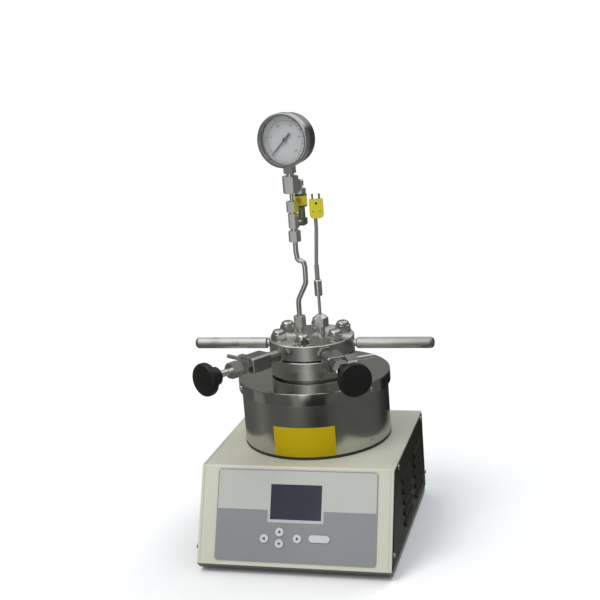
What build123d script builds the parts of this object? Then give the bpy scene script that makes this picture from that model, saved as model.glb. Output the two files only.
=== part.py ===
"""Bench-top hydrothermal reactor with a magnetic stirring and heating base.

A small flanged pressure vessel hangs in a heated drum. The drum stands on a sheet-metal
cabinet with a sloping control panel. The vessel head carries two lever bars, two needle
valves, a pressure gauge line with a relief valve, and a thermocouple.

Millimetres. +Z is up, +X is to the right of someone who faces the control panel, and +Y
points to the rear. The origin is on the bench, on the axis of the drum and the vessel.
"""
from build123d import *
from math import atan2, cos, hypot, radians, sin
import os

# ---------------------------------------------------------------- clearances
running_fit = 0.05          # radial, shaft in a bore
slip_fit = 0.15             # radial, still pieces that slide together once
moving_gap = 0.3            # round anything that travels

# ---------------------------------------------------------------- base tray and feet
foot_height = 3.0
foot_d = 16.0
foot_inset = 26.0
tray_height = 9.0
tray_front_set_back = 9.0   # the lip slopes back under the control panel
tray_rear_set_back = 4.0
tray_wall = 2.0
tray_vent_at = (45.0, 10.0)  # first slot in the floor
tray_vent_count = 6
tray_vent_pitch = 9.0
tray_vent_length = 34.0
tray_vent_width = 3.0

# ---------------------------------------------------------------- cabinet
cabinet_width = 226.0
cabinet_height = 101.0
cabinet_top_depth = 199.0
cabinet_rear_y = 90.0
front_run = 49.0            # how far the panel leans back over its height
cabinet_sheet = 1.5
cabinet_bend_r = 3.0
side_flange = 12.0          # folded edge that the side panels screw to
seam_inset = 3.2            # joint line beside the folded edges
seam_width = 0.5
seam_depth = 0.4
side_panel_sheet = 1.2
side_panel_margin = 3.2     # painted edge left showing round a side panel

# ---------------------------------------------------------------- side louvres
louvre_rows = 5
louvre_length = 52.0
louvre_pitch = 13.2
louvre_lowest_z = 31.0
louvre_front_y = -47.0
louvre_rear_y = 32.0
louvre_rise = 6.5
louvre_depth = 3.0
louvre_wall = 0.9

# ---------------------------------------------------------------- control panel
panel_shift = 1.7           # the panel's fittings sit right of the cabinet's middle
overlay_width = 188.0
overlay_height = 103.5
overlay_drop = 55.75        # middle of the overlay, down the slope from its top edge
overlay_thickness = 0.8
overlay_corner_r = 4.0
display_width = 60.0
display_height = 39.5
display_drop = 40.0
display_recess = 0.4
display_body_margin = 6.0
display_body_depth = 5.0
key_rise = 1.2              # cap above the overlay
key_travel = 0.6
key_flange = 1.0
key_flange_thickness = 0.8
key_flange_gap = 0.1
round_key_d = 10.0
wide_key_length = 24.6
wide_key_width = 8.4
left_key_at = (-35.6, 81.4)     # across, and down the slope
up_key_at = (-17.7, 73.6)
down_key_at = (-17.7, 86.4)
right_key_at = (3.2, 80.4)
wide_key_at = (28.8, 79.6)
board_width = 150.0
board_height = 88.0
board_thickness = 1.6
board_post_d = 5.0
key_switch_size = 6.0
board_post_inset = 6.0
board_shift = 3.0           # board's middle below the overlay's
board_parts = (             # across, down the slope, width, height, depth
    (-48.0, 60.0, 22.0, 22.0, 3.0),
    (42.0, 42.0, 16.0, 30.0, 9.0),
    (-10.0, 40.0, 30.0, 12.0, 4.0),
)

# ---------------------------------------------------------------- rear of the cabinet
rear_vent_count = 6
rear_vent_lowest_z = 38.0
rear_vent_pitch = 8.0
rear_vent_length = 30.0
rear_vent_width = 2.4
inlet_from_side = 47.0      # middle of the inlet, from the cabinet's left side
inlet_z = 52.0
inlet_flange_width = 31.0
inlet_flange_height = 60.0
inlet_flange_thickness = 3.0
inlet_corner_r = 3.0
inlet_body_margin = 2.0
inlet_body_depth = 24.0
inlet_cavity_width = 24.5
inlet_cavity_height = 17.0
inlet_cavity_depth = 16.0
inlet_cavity_z = -13.0      # from the middle of the flange
inlet_pin_width = 2.0
inlet_pin_height = 4.0
inlet_pin_length = 12.0
inlet_pin_pitch = 14.0
inlet_pin_drop = 2.0        # the outer two below the cavity's middle, the third above
rocker_length = 19.0
rocker_height = 12.0
rocker_z = 15.0             # from the middle of the flange
rocker_depth = 3.0
rocker_dip = 1.2
rocker_edge_rise = 2.2
rocker_pin_r = 1.2
rocker_pin_length = 1.2
rocker_swing = 20.0
rocker_gap = 0.8
rocker_well_depth = 11.0
socket_from_side = 51.0
socket_z = 62.0
socket_width = 26.0
socket_height = 12.0
socket_flange = 2.0
socket_corner_r = 1.5
socket_body_inset = (4.0, 3.0)
socket_slot_gap = (0.6, 0.5)
socket_slot_depth = 10.5
socket_depth = 15.0
socket_slot_pitch = 7.9

# ---------------------------------------------------------------- electronics
power_board_length = 120.0
power_board_width = 70.0
power_board_at = (-38.0, -60.0)
power_post_inset = 6.0
power_post_height = 6.0
transformer_at = (-30.0, 8.0)
transformer_size = (42.0, 36.0, 32.0)
relay_at = (20.0, 18.0)
relay_size = (29.0, 13.0, 25.0)
capacitor_places = ((8.0, -15.0), (28.0, -15.0))
capacitor_d = 16.0
capacitor_height = 26.0

# ---------------------------------------------------------------- stirrer drive
motor_d = 52.0
motor_height = 46.0
motor_flange_d = 64.0
motor_flange_thickness = 3.0
motor_bore_depth = 22.0
motor_edge_r = 3.0
rotor_shaft_d = 8.0
shaft_hole_clearance = 6.0  # in the top of the cabinet
shaft_clearance = 2.0       # in the floor of the drum
rotor_clearance = 2.0       # in the lining
rotor_d = 60.0
rotor_thickness = 10.0
rotor_floor_gap = 3.0
rotor_hub_thickness = 1.5
rotor_end_gap = 1.0
magnet_d = 14.0
magnet_height = 7.0
magnet_ring_r = 20.0

# ---------------------------------------------------------------- heated drum
drum_d = 177.8
drum_sheet = 1.2
drum_base_proud = 0.3       # the dark ring stands out under the shell
drum_base_step = 3.3
drum_base_floor = 2.0
drum_base_rim = 5.0
drum_base_rim_height = 13.0
drum_cover_overhang = 3.1
drum_cover_sheet = 1.5
drum_cover_skirt = 14.5
drum_cover_edge_r = 1.2
drum_height = 76.0          # shell only
drum_screw_azimuths = (90.0, 210.0, 330.0)
drum_screw_rise = 6.0
cover_screw_rise = 8.0
insulation_gap = 2.2
insulation_floor = 13.7
insulation_top_gap = 3.0
heater_outer_d = 100.0
heater_neck_d = 90.0
heater_neck_height = 5.5
heater_gap = 0.5
band_thickness = 2.5
band_height = 38.0
band_rise = 10.0
band_slit = 4.0
band_lug = 7.0
band_clearance = 1.0        # from the lugs to the lining

# ---------------------------------------------------------------- vessel and head
vessel_lift = 1.9           # flange above the drum cover
flange_d = 103.0
flange_thickness = 22.3
vessel_outer_d = 75.0
vessel_inner_d = 46.0
vessel_length = 61.7        # below the flange
vessel_floor = 12.0
vessel_bottom_r = 6.0
head_gap = 1.5
head_thickness = 18.6
rim_chamfer = 0.8
gasket_inner_d = 54.0
gasket_outer_d = 66.0
gasket_thickness = 3.5

# ---------------------------------------------------------------- head bolts
bolt_count = 6
bolt_first_azimuth = 30.0
bolt_circle_d = 80.0
stud_d = 10.0
stud_hole_d = 11.0
stud_depth = 17.0
nut_across_flats = 17.0
nut_hex_height = 6.5
nut_dome_height = 5.0
nut_thread_depth = 9.0
stud_end_gap = 0.5          # from the end of the stud to the end of the thread
washer_d = 20.0
washer_thickness = 1.6

# ---------------------------------------------------------------- lever bars
lever_d = 13.4
lever_neck_d = 9.0
lever_neck = 4.0            # thin part showing at the head
lever_reach = 148.4
lever_tip_r = 4.5
lever_root_chamfer = 1.0
lever_thread_depth = 12.0

# ---------------------------------------------------------------- needle valves
left_valve_azimuth = 240.0
left_outlet_azimuth = 150.0
left_valve_reach = 93.0     # drum axis to the middle of the valve body
right_valve_azimuth = 300.0
right_outlet_azimuth = 30.0
right_valve_reach = 90.0
valve_length = 28.0
valve_width = 22.0
valve_height = 18.5
valve_chamfer = 2.0
valve_inlet_d = 13.0
valve_inlet_hex = 16.0
valve_inlet_hex_length = 8.0
valve_thread_d = 10.0
valve_thread_depth = 8.0
outlet_boss_d = 11.0
outlet_boss = 3.5
outlet_nut_af = 11.0
outlet_nut_length = 12.0
outlet_tube_d = 4.8
outlet_tube_wall = 0.9
outlet_shank_d = 4.4        # turned-down end inside the boss and the nut
outlet_shoulder = 0.5       # full diameter starts this far outside the nut
outlet_tube_reach = 48.0
bonnet_af = 15.0
bonnet_length = 13.0
packing_nut_af = 17.0
packing_nut_length = 14.0
stem_d = 8.0
stem_tip_length = 4.0
stem_lift = 2.5             # two and a half turns of a 1 mm thread
passage_d = 2.5
knob_d = 38.0
knob_rim = 12.0
knob_hub_d = 21.0
knob_hub_chamfer = 2.0
knob_hub = 13.0
knob_dome = 3.0
knob_edge_r = 3.5
knob_at = 58.4              # rear of the hub, from the middle of the valve body
knob_cap = 5.0
knob_cap_rise = 0.3

# ---------------------------------------------------------------- gauge line
gauge_port = (-10.4, -8.8)
line_tube_d = 6.0
line_bore_d = 4.0
line_seat = 4.0             # the tube's end goes this far into a fitting
line_bends = (              # across from the lower end, and share of the height
    (0.0, 0.29),
    (10.8, 0.46),
    (11.1, 0.615),
    (9.9, 0.675),
    (3.0, 0.683),
)
line_upper_bend = 0.77      # share of the height where the last upright run starts
line_bend_radii = (14.0, 14.0, 12.0, 4.2, 4.2, 8.0)
line_nut_af = 13.0
line_nut_height = 13.0
port_hex_af = 12.0
port_hex_height = 6.0
port_neck_d = 8.8
port_neck_height = 8.0
line_neck_d = 9.0
line_neck_length = 3.2
tee_top_neck = 1.7
tee_port = (-8.8, -8.8)
tee_bottom_rise = 133.3     # tee body above the head
tee_af = 11.0
tee_height = 17.0
adapter_stem_d = 5.0
adapter_stem = 9.5
adapter_af = 17.0
adapter_height = 20.3
adapter_seat = 2.0          # the stem's end inside the tee
gauge_thread_d = 9.0
gauge_thread_gap = 2.7
gauge_thread_depth = 9.0
gauge_thread_end_gap = 0.5

# ---------------------------------------------------------------- relief valve
relief_azimuth = 68.0
relief_reach = 17.0
relief_arm_d = 8.0
relief_arm_drop = 4.0       # arm below the middle of the tee
relief_elbow = 9.0
relief_elbow_chamfer = 2.0
relief_body_d = 8.4
relief_body_rise = 18.0
relief_sleeve_d = 15.0
relief_sleeve_height = 15.5
relief_sleeve_edge_r = 1.6
relief_cap_af = 12.0
relief_cap_hex = 6.3
relief_cap_neck_d = 6.0
relief_cap_neck = 2.1
relief_cap_d = 9.2
relief_cap_height = 8.2
relief_stud_d = 5.0
relief_stud_rise = 2.0      # into the cap

# ---------------------------------------------------------------- pressure gauge
gauge_azimuth = 260.0
gauge_rise = 39.3           # centre of the dial above the foot of the socket
gauge_case_d = 60.0
gauge_case_wall = 1.2
gauge_case_edge_r = 2.0
gauge_front = 15.5          # front edge, ahead of the stem
gauge_back = 13.3
gauge_case_front = 11.0
gauge_bezel_overhang = 1.65  # outside the case
gauge_bezel_edge_r = 1.6
gauge_bezel_back = 6.2      # rear edge of the bezel, ahead of the stem
gauge_bezel_lip = 3.4
gauge_lens_thickness = 1.5
gauge_lens_gap = 0.1
gauge_dial_gap = 0.5        # inside the case
gauge_dial_front = 6.0
gauge_dial_thickness = 0.8
gauge_socket_size = 11.0
movement_width = 24.0
movement_height = 20.0
pointer_length = 24.0
pointer_tail = 10.0
pointer_width = 2.4
pointer_tip_width = 0.7
pointer_tail_width = 3.2
pointer_thickness = 0.6
pointer_gap = 1.2
pointer_hub_d = 5.0
pointer_hub_rise = 1.0
pointer_spindle_d = 2.0
pointer_spindle = 6.0
pointer_zero_angle = 225.0  # counter-clockwise from the right, seen from the front

# ---------------------------------------------------------------- thermocouple
probe_port = (13.9, -4.8)
probe_d = 3.6
probe_tip_clearance = 18.0  # above the inside floor of the vessel
probe_neck_d = 10.0
probe_neck_height = 12.8
probe_nut_af = 17.0
probe_nut_height = 11.0
probe_nut_cone = 3.8
probe_nut_top_d = 7.0
probe_sleeve_d = 9.3
probe_sleeve_rise = 50.0    # sleeve above the head
probe_sleeve_length = 19.5
lead_d = 4.4
lead_boot_d = 5.6
lead_boot_length = 20.0
lead_bend_r = 60.0
lead_straight = 12.0        # upright stretch below the plug
plug_width = 16.5
plug_height = 22.2
plug_thickness = 8.6
plug_corner_r = 5.0
plug_edge_r = 0.8
plug_turn = 14.0
plug_lead_offset = 1.8      # the lead enters beside the middle of the plug
plug_at = (18.8, -4.8)
plug_rise = 143.5           # foot of the plug above the head
plug_pin_pitch = 7.9
plug_pin_width = 2.4
plug_pin_thickness = 0.8
plug_pin_length = 6.4
plug_pin_depth = 6.0
plug_screw_d = 2.8
plug_screw_depth = 1.0
plug_screw_from_top = 4.5

# ---------------------------------------------------------------- stir bar
stir_bar_d = 8.0
stir_bar_length = 32.0

# ---------------------------------------------------------------- housing screws
screw_head_d = 5.6
screw_head_height = 1.6
screw_shank_d = 3.0
screw_shank = 4.5
screw_hole_reach = 8.0      # long enough to pass the sheet and the lid over it
screw_recess_length = 3.4
screw_recess_width = 0.8
screw_recess_depth = 0.6
screw_edge = 5.0            # screw centre inside the cabinet's edge
screw_top_front_run = 20.0
screw_top_rear_run = 17.0
screw_front_rise = 15.0
screw_rear_rise = 18.0

# ================================================================ worked-out sizes
tray_top_z = foot_height + tray_height
cabinet_top_z = tray_top_z + cabinet_height
cabinet_half = cabinet_width / 2
front_top_y = cabinet_rear_y - cabinet_top_depth
front_bottom_y = front_top_y - front_run
front_length = hypot(front_run, cabinet_height)
front_lean = atan2(front_run, cabinet_height)
gauge_bezel_d = gauge_case_d + 2 * gauge_bezel_overhang
gauge_dial_d = gauge_case_d - 2 * (gauge_case_wall + gauge_dial_gap)

inlet_x = inlet_from_side - cabinet_half
socket_x = cabinet_half - socket_from_side

drum_cover_d = drum_d + 2 * drum_cover_overhang
drum_floor_z = cabinet_top_z + drum_base_step
drum_top_z = drum_floor_z + drum_height
drum_cover_top_z = drum_top_z + drum_cover_sheet
base_floor_top_z = drum_floor_z + drum_base_floor
insulation_seat_z = base_floor_top_z + insulation_floor

flange_z = drum_cover_top_z + vessel_lift
flange_top_z = flange_z + flange_thickness
head_z = flange_top_z + head_gap
head_top_z = head_z + head_thickness
port_z = head_z + head_thickness / 2
vessel_z = flange_z - vessel_length
cavity_z = vessel_z + vessel_floor

rotor_z = base_floor_top_z + rotor_floor_gap
rotor_top_z = rotor_z + rotor_thickness
motor_top_z = cabinet_top_z - cabinet_sheet

line_nut_z = head_top_z + port_hex_height + port_neck_height
tee_z = head_top_z + tee_bottom_rise
tee_top_z = tee_z + tee_height
lower_nut_z = tee_z - line_neck_length - line_nut_height
upper_nut_z = tee_top_z + tee_top_neck
adapter_z = upper_nut_z + line_nut_height + adapter_stem
adapter_top_z = adapter_z + adapter_height
gauge_foot_z = adapter_top_z + gauge_thread_gap
gauge_z = gauge_foot_z + gauge_rise

# Directions and work planes.
panel_up = Vector(0, sin(front_lean), cos(front_lean))
panel_out = Vector(0, -cos(front_lean), sin(front_lean))
panel_top = Vector(panel_shift, front_top_y, cabinet_top_z)
panel_plane = Plane(origin=panel_top, x_dir=(1, 0, 0), z_dir=panel_out)
rear_plane = Plane(origin=(0, cabinet_rear_y, 0), x_dir=(-1, 0, 0), z_dir=(0, 1, 0))


def heading(azimuth):
    """Level unit vector at an angle counter-clockwise from +X, seen from above."""
    return Vector(cos(radians(azimuth)), sin(radians(azimuth)), 0)


def valve_plane(azimuth, outlet_azimuth, reach):
    """Origin in the middle of a valve body, z along its stem, x along its outlet."""
    middle = heading(azimuth) * reach + Vector(0, 0, port_z)
    return Plane(origin=middle, x_dir=heading(outlet_azimuth), z_dir=heading(azimuth))


gauge_normal = heading(gauge_azimuth)
gauge_plane = Plane(
    origin=(tee_port[0], tee_port[1], gauge_z),
    x_dir=Vector(0, 0, 1).cross(gauge_normal),
    z_dir=gauge_normal,
)
left_valve = valve_plane(left_valve_azimuth, left_outlet_azimuth, left_valve_reach)
right_valve = valve_plane(right_valve_azimuth, right_outlet_azimuth, right_valve_reach)


# ================================================================ small helpers
def rod(diameter, low, high):
    """Round bar along Z between two heights."""
    return Pos(0, 0, low) * extrude(Circle(diameter / 2), high - low)


def collar(outer, inner, low, high):
    """Round tube along Z between two heights."""
    return Pos(0, 0, low) * extrude(Circle(outer / 2) - Circle(inner / 2), high - low)


def hexagon(across_flats, low, high):
    """Plain hexagon bar along Z."""
    sketch = RegularPolygon(across_flats / 2, 6, major_radius=False)
    return Pos(0, 0, low) * extrude(sketch, high - low)


def hex_nut(across_flats, low, high, bore):
    """Hexagon nut with its corners chamfered at both ends."""
    corner_r = across_flats / 2 / cos(radians(30))
    blank = rod(2 * corner_r, low, high)
    bevel = corner_r - across_flats / 2
    blank = chamfer(blank.edges().filter_by(GeomType.CIRCLE), bevel * 0.6, bevel)
    nut = hexagon(across_flats, low, high) & blank
    return nut - rod(bore, low - 1, high + 1) if bore else nut


def turned(*points):
    """Solid of revolution about Z from (radius, height) corners."""
    outline = make_face(Plane.XZ * Polyline(*points, close=True))
    return revolve(outline, Axis.Z)


def on_circle(shape, azimuths, radius=0.0):
    """Copies of a shape, each turned to an azimuth and moved out from the axis."""
    return [Rot(0, 0, azimuth) * Pos(radius, 0, 0) * shape for azimuth in azimuths]


def group(solids):
    """Like pieces that share one sub-part, kept as separate solids."""
    return Compound(children=list(solids))


def on_panel(at, shape):
    """Place a shape on the control panel, at (across, down the slope)."""
    return panel_plane * Pos(at[0], -at[1], 0) * shape


# ================================================================ cabinet
def side_outline(inset):
    """Side view of the cabinet, drawn in inward by an even margin."""
    lean_shift = inset / cos(front_lean)
    top = cabinet_top_z - inset
    front_at_top = front_top_y + lean_shift - inset * front_run / cabinet_height
    outline = Polyline(
        (front_at_top, top),
        (cabinet_rear_y - inset, top),
        (cabinet_rear_y - inset, tray_top_z),
        (front_bottom_y + lean_shift, tray_top_z),
        close=True,
    )
    return make_face(Plane.YZ * outline)


def across(face, low, high):
    """Extrude a side-view face across the cabinet from x = low to x = high."""
    return Pos(low, 0, 0) * extrude(face, high - low, dir=(1, 0, 0))


def base_tray():
    bottom = foot_height
    outer = make_face(Plane.YZ * Polyline(
        (front_bottom_y, tray_top_z),
        (cabinet_rear_y, tray_top_z),
        (cabinet_rear_y - tray_rear_set_back, bottom),
        (front_bottom_y + tray_front_set_back, bottom),
        close=True,
    ))
    pan = across(outer, -cabinet_half, cabinet_half)
    hollow_depth = cabinet_rear_y - front_bottom_y - 2 * tray_front_set_back - 2 * tray_wall
    hollow = extrude(
        Rectangle(cabinet_width - 2 * tray_wall, hollow_depth), tray_height)
    middle_y = (front_bottom_y + tray_front_set_back + cabinet_rear_y - tray_front_set_back) / 2
    pan -= Pos(0, middle_y, bottom + tray_wall) * hollow
    for x, y in power_post_places():
        pan += Pos(x, y, 0) * rod(board_post_d, bottom, power_board_z())
    x, y = tray_vent_at
    vent = extrude(SlotOverall(tray_vent_length, tray_vent_width), 2 * tray_wall, both=True)
    for row in range(tray_vent_count):
        pan -= Pos(x, y + row * tray_vent_pitch, bottom) * vent
    return pan


def power_board_z():
    return foot_height + tray_wall + power_post_height


def power_post_places():
    x, y = power_board_at
    reach_x = power_board_length / 2 - power_post_inset
    reach_y = power_board_width / 2 - power_post_inset
    return [(x + i * reach_x, y + j * reach_y) for i in (-1, 1) for j in (-1, 1)]


def rubber_feet():
    foot = Cone(foot_d / 2 - 1, foot_d / 2, foot_height, align=(Align.CENTER, Align.CENTER, Align.MIN))
    foot -= rod(foot_d / 3, 0, foot_height / 2)
    x = cabinet_half - foot_inset
    front = front_bottom_y + tray_front_set_back + foot_inset
    rear = cabinet_rear_y - foot_inset
    return group(Pos(i * x, y, 0) * foot for i in (-1, 1) for y in (front, rear))


def bent_block(inset):
    """Solid inside the cabinet's sheet, with its two bends rounded."""
    block = across(side_outline(inset), inset - cabinet_half, cabinet_half - inset)
    bends = block.edges().filter_by(Axis.X).sort_by(Axis.Z)[-2:]
    return fillet(bends, cabinet_bend_r - inset)


def cabinet_cover():
    """One sheet bent over the front, the top and the rear, with folded side edges."""
    cover = bent_block(0) - bent_block(cabinet_sheet)
    cover -= across(side_outline(side_flange), -cabinet_half, cabinet_half)
    groove = bent_block(0) - bent_block(seam_depth)
    for side in (-1, 1):
        middle = side * (cabinet_half - seam_inset)
        slab = Pos(middle, 0, 0) * Box(seam_width, 2 * cabinet_top_depth, 3 * cabinet_top_z)
        cover -= groove & slab
    depth = 4 * cabinet_sheet
    for y, z in side_screw_places():
        cover -= Pos(0, y, z) * Rot(0, 90, 0) * Cylinder(screw_shank_d / 2, 2 * cabinet_width)
    cover -= on_panel((0, display_drop), extrude(
        Rectangle(display_width, display_height), depth, both=True))
    for at, key_hole in key_openings():
        cover -= on_panel(at, extrude(key_hole, depth, both=True))
    for at in board_post_places():
        post = rod(board_post_d, board_top(), -cabinet_sheet)
        cover += on_panel(at, post)
    cover -= rod(rotor_shaft_d + 2 * shaft_hole_clearance, motor_top_z - 1, cabinet_top_z + 1)
    cover -= rear_plane * Pos(-inlet_x, inlet_z, 0) * extrude(inlet_body_outline(slip_fit), depth, both=True)
    cover -= rear_plane * Pos(-socket_x, socket_z, 0) * extrude(socket_body_outline(slip_fit), depth, both=True)
    vent = extrude(SlotOverall(rear_vent_length, rear_vent_width), depth, both=True)
    for row in range(rear_vent_count):
        cover -= rear_plane * Pos(0, rear_vent_lowest_z + row * rear_vent_pitch, 0) * vent
    return cover


def side_panel(side):
    """Flat sheet over the side opening, with pressed louvres that open downwards."""
    inner_x = cabinet_half
    sheet = across(side_outline(side_panel_margin), inner_x, inner_x + side_panel_sheet)
    for row in range(louvre_rows):
        z = louvre_lowest_z + row * louvre_pitch
        for y in (louvre_front_y, louvre_rear_y):
            place = Pos(inner_x + side_panel_sheet, y, z)
            sheet += place * louvre_hood()
            sheet -= place * louvre_hollow()
    for y, z in side_screw_places():
        hole = Cylinder(screw_shank_d / 2 + slip_fit, 4 * side_panel_sheet)
        sheet -= Pos(inner_x, y, z) * Rot(0, 90, 0) * hole
    return sheet if side > 0 else mirror(sheet, Plane.YZ)


def louvre_profile(depth, rise, back):
    """Section of a louvre: the sheet's face, a curved hood and a square lower lip."""
    low = -rise / 2
    high = rise / 2
    lines = Polyline((0, high), (-back, high), (-back, low), (0, low), (depth, low))
    hood = ThreePointArc((depth, low), (depth * 0.72, 0.1 * rise), (0, high))
    return make_face(Plane.XZ * (lines + hood))


def louvre_hood():
    body = extrude(louvre_profile(louvre_depth, louvre_rise, side_panel_sheet / 2),
                   louvre_length / 2, both=True)
    corners = body.edges().filter_by(Axis.Z).sort_by(Axis.X)[-2:]
    return fillet(corners, louvre_depth * 0.6)


def louvre_hollow():
    inner = louvre_profile(louvre_depth - louvre_wall, louvre_rise - 2 * louvre_wall, side_panel_sheet)
    body = extrude(inner, louvre_length / 2 - 2 * louvre_wall, both=True)
    mouth = Pos((louvre_depth - louvre_wall) / 2, 0, -louvre_rise / 2) * Box(
        louvre_depth - louvre_wall, louvre_length - 4 * louvre_wall, 4 * louvre_wall)
    return body + mouth


def front_y_at(z):
    """Y of the sloping front face at a height."""
    return front_bottom_y + front_run * (z - tray_top_z) / cabinet_height


def side_screw_places():
    top = cabinet_top_z - screw_edge
    low_front = tray_top_z + screw_front_rise
    low_rear = tray_top_z + screw_rear_rise
    return [
        (front_top_y + screw_top_front_run, top),
        (cabinet_rear_y - screw_top_rear_run, top),
        (front_y_at(low_front) + screw_edge / cos(front_lean), low_front),
        (cabinet_rear_y - screw_edge, low_rear),
    ]


def housing_screw():
    """Cross-recessed screw along Z, with the underside of its head at z = 0."""
    head = rod(screw_head_d, 0, screw_head_height)
    head = fillet(head.edges().sort_by(Axis.Z)[-1:], screw_head_height * 0.6)
    recess_z = screw_head_height - screw_recess_depth / 2
    for turn in (0, 90):
        recess = Box(screw_recess_length, screw_recess_width, screw_recess_depth)
        head -= Pos(0, 0, recess_z) * Rot(0, 0, turn) * recess
    return head + rod(screw_shank_d, -screw_shank, 0)


def housing_screws():
    screw = housing_screw()
    outside = cabinet_half + side_panel_sheet
    screws = []
    for y, z in side_screw_places():
        screws.append(Pos(outside, y, z) * Rot(0, 90, 0) * screw)
        screws.append(Pos(-outside, y, z) * Rot(0, -90, 0) * screw)
    low = Pos(0, 0, drum_floor_z + drum_screw_rise) * Rot(0, 90, 0) * screw
    high = Pos(0, 0, drum_cover_top_z - cover_screw_rise) * Rot(0, 90, 0) * screw
    screws += on_circle(low, drum_screw_azimuths, drum_d / 2)
    screws += on_circle(high, drum_screw_azimuths, drum_cover_d / 2)
    return group(screws)


# ================================================================ control panel
def key_shapes():
    """Place and outline of each key cap."""
    round_key = Circle(round_key_d / 2)
    wide_key = SlotOverall(wide_key_length, wide_key_width)
    return {
        "key_left": (left_key_at, round_key),
        "key_up": (up_key_at, round_key),
        "key_down": (down_key_at, round_key),
        "key_right": (right_key_at, round_key),
        "key_wide": (wide_key_at, wide_key),
    }


def key_openings():
    """Place and outline of each key's hole in the overlay and the sheet."""
    return [(at, offset(cap, moving_gap)) for at, cap in key_shapes().values()]


def board_top():
    """Height of the board's front face along the panel's normal."""
    return -cabinet_sheet - display_body_depth


def board_post_places():
    middle = board_middle()
    reach_x = board_width / 2 - board_post_inset
    reach_y = board_height / 2 - board_post_inset
    return [(i * reach_x, middle + j * reach_y) for i in (-1, 1) for j in (-1, 1)]


def board_middle():
    return overlay_drop + board_shift


def front_overlay():
    sheet = extrude(RectangleRounded(overlay_width, overlay_height, overlay_corner_r), overlay_thickness)
    sheet = on_panel((0, overlay_drop), sheet)
    sheet -= on_panel((0, display_drop), extrude(Rectangle(display_width, display_height), 5, both=True))
    for at, key_hole in key_openings():
        sheet -= on_panel(at, extrude(key_hole, 5, both=True))
    return sheet


def display_module():
    face = overlay_thickness - display_recess
    glass = Rectangle(display_width - 2 * slip_fit, display_height - 2 * slip_fit)
    screen = Pos(0, 0, -cabinet_sheet) * extrude(glass, face + cabinet_sheet)
    margin = 2 * display_body_margin
    body = Rectangle(display_width + margin, display_height + margin)
    body = Pos(0, 0, board_top()) * extrude(body, display_body_depth)
    return on_panel((0, display_drop), screen + body)


def key_cap(at, cap):
    """Cap through the panel, with a flange behind the sheet that keeps it in."""
    top = overlay_thickness + key_rise
    flange_top = -cabinet_sheet - key_flange_gap
    flange_low = flange_top - key_flange_thickness
    body = Pos(0, 0, flange_low) * extrude(cap, top - flange_low)
    top_edges = body.faces().sort_by(Axis.Z)[-1].edges()
    body = fillet(top_edges, 0.4)
    flange = Pos(0, 0, flange_low) * extrude(offset(cap, key_flange), key_flange_thickness)
    return on_panel(at, body + flange)


def control_board():
    """Circuit board behind the panel, with one switch under each key."""
    top = board_top()
    board = Pos(0, -board_middle(), top - board_thickness) * extrude(
        Rectangle(board_width, board_height), board_thickness)
    flange_low = -cabinet_sheet - key_flange_gap - key_flange_thickness
    plunger_top = flange_low - key_travel - moving_gap
    for at, cap in key_shapes().values():
        body_top = top + (plunger_top - top) * 0.6
        switch = Pos(0, 0, top) * extrude(Rectangle(key_switch_size, key_switch_size), body_top - top)
        board += Pos(at[0], -at[1], 0) * (switch + rod(key_switch_size / 2, top, plunger_top))
    back = top - board_thickness
    for x, y, width, height, depth in board_parts:
        board += Pos(x, -y, back - depth) * extrude(Rectangle(width, height), depth)
    return panel_plane * board


# ================================================================ rear fittings
def inlet_body_outline(margin):
    width = inlet_flange_width - 2 * inlet_body_margin + 2 * margin
    height = inlet_flange_height - 2 * inlet_body_margin + 2 * margin
    return Rectangle(width, height)


def power_inlet():
    """Moulded mains inlet with three blades, and the well of the rocker switch."""
    flange = extrude(RectangleRounded(inlet_flange_width, inlet_flange_height, inlet_corner_r),
                     inlet_flange_thickness)
    body = extrude(inlet_body_outline(0), -inlet_body_depth)
    unit = flange + body
    mouth = RectangleRounded(inlet_cavity_width, inlet_cavity_height, inlet_corner_r)
    cavity = extrude(mouth, -inlet_cavity_depth)
    unit -= Pos(0, inlet_cavity_z, inlet_flange_thickness) * cavity
    well = Rectangle(rocker_length + 2 * moving_gap, rocker_height + 2 * rocker_gap)
    unit -= Pos(0, rocker_z, inlet_flange_thickness) * extrude(well, -rocker_well_depth)
    pin_reach = rocker_length / 2 + rocker_pin_length + moving_gap
    bearing = Rot(0, 90, 0) * Cylinder(rocker_pin_r + running_fit, 2 * pin_reach)
    unit -= Pos(0, rocker_z, inlet_flange_thickness - rocker_depth) * bearing
    blade = extrude(Rectangle(inlet_pin_width, inlet_pin_height), inlet_pin_length)
    floor = inlet_flange_thickness - inlet_cavity_depth
    half_pitch = inlet_pin_pitch / 2
    for x, z in ((-half_pitch, -inlet_pin_drop), (half_pitch, -inlet_pin_drop), (0, inlet_pin_drop)):
        unit += Pos(x, inlet_cavity_z + z, floor) * blade
    return rear_plane * Pos(-inlet_x, inlet_z, 0) * unit


def rocker_switch():
    """Rocker with a dished face, turned to its off position, on two short pins."""
    half = rocker_height / 2
    section = make_face(Plane.YZ * Polyline(
        (-half, -half / 2), (-half, rocker_edge_rise), (0, rocker_edge_rise - rocker_dip),
        (half, rocker_edge_rise), (half, -half / 2), close=True))
    rocker = extrude(section, rocker_length / 2, both=True)
    pin = Rot(0, 90, 0) * Cylinder(rocker_pin_r, rocker_length + 2 * rocker_pin_length)
    rocker = Rot(-rocker_swing / 2, 0, 0) * (rocker + pin)
    place = Pos(-inlet_x, inlet_z + rocker_z, inlet_flange_thickness - rocker_depth)
    return rear_plane * place * rocker


def socket_body_outline(margin):
    inset_x, inset_z = socket_body_inset
    return Rectangle(socket_width - inset_x + 2 * margin, socket_height - inset_z + 2 * margin)


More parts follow.
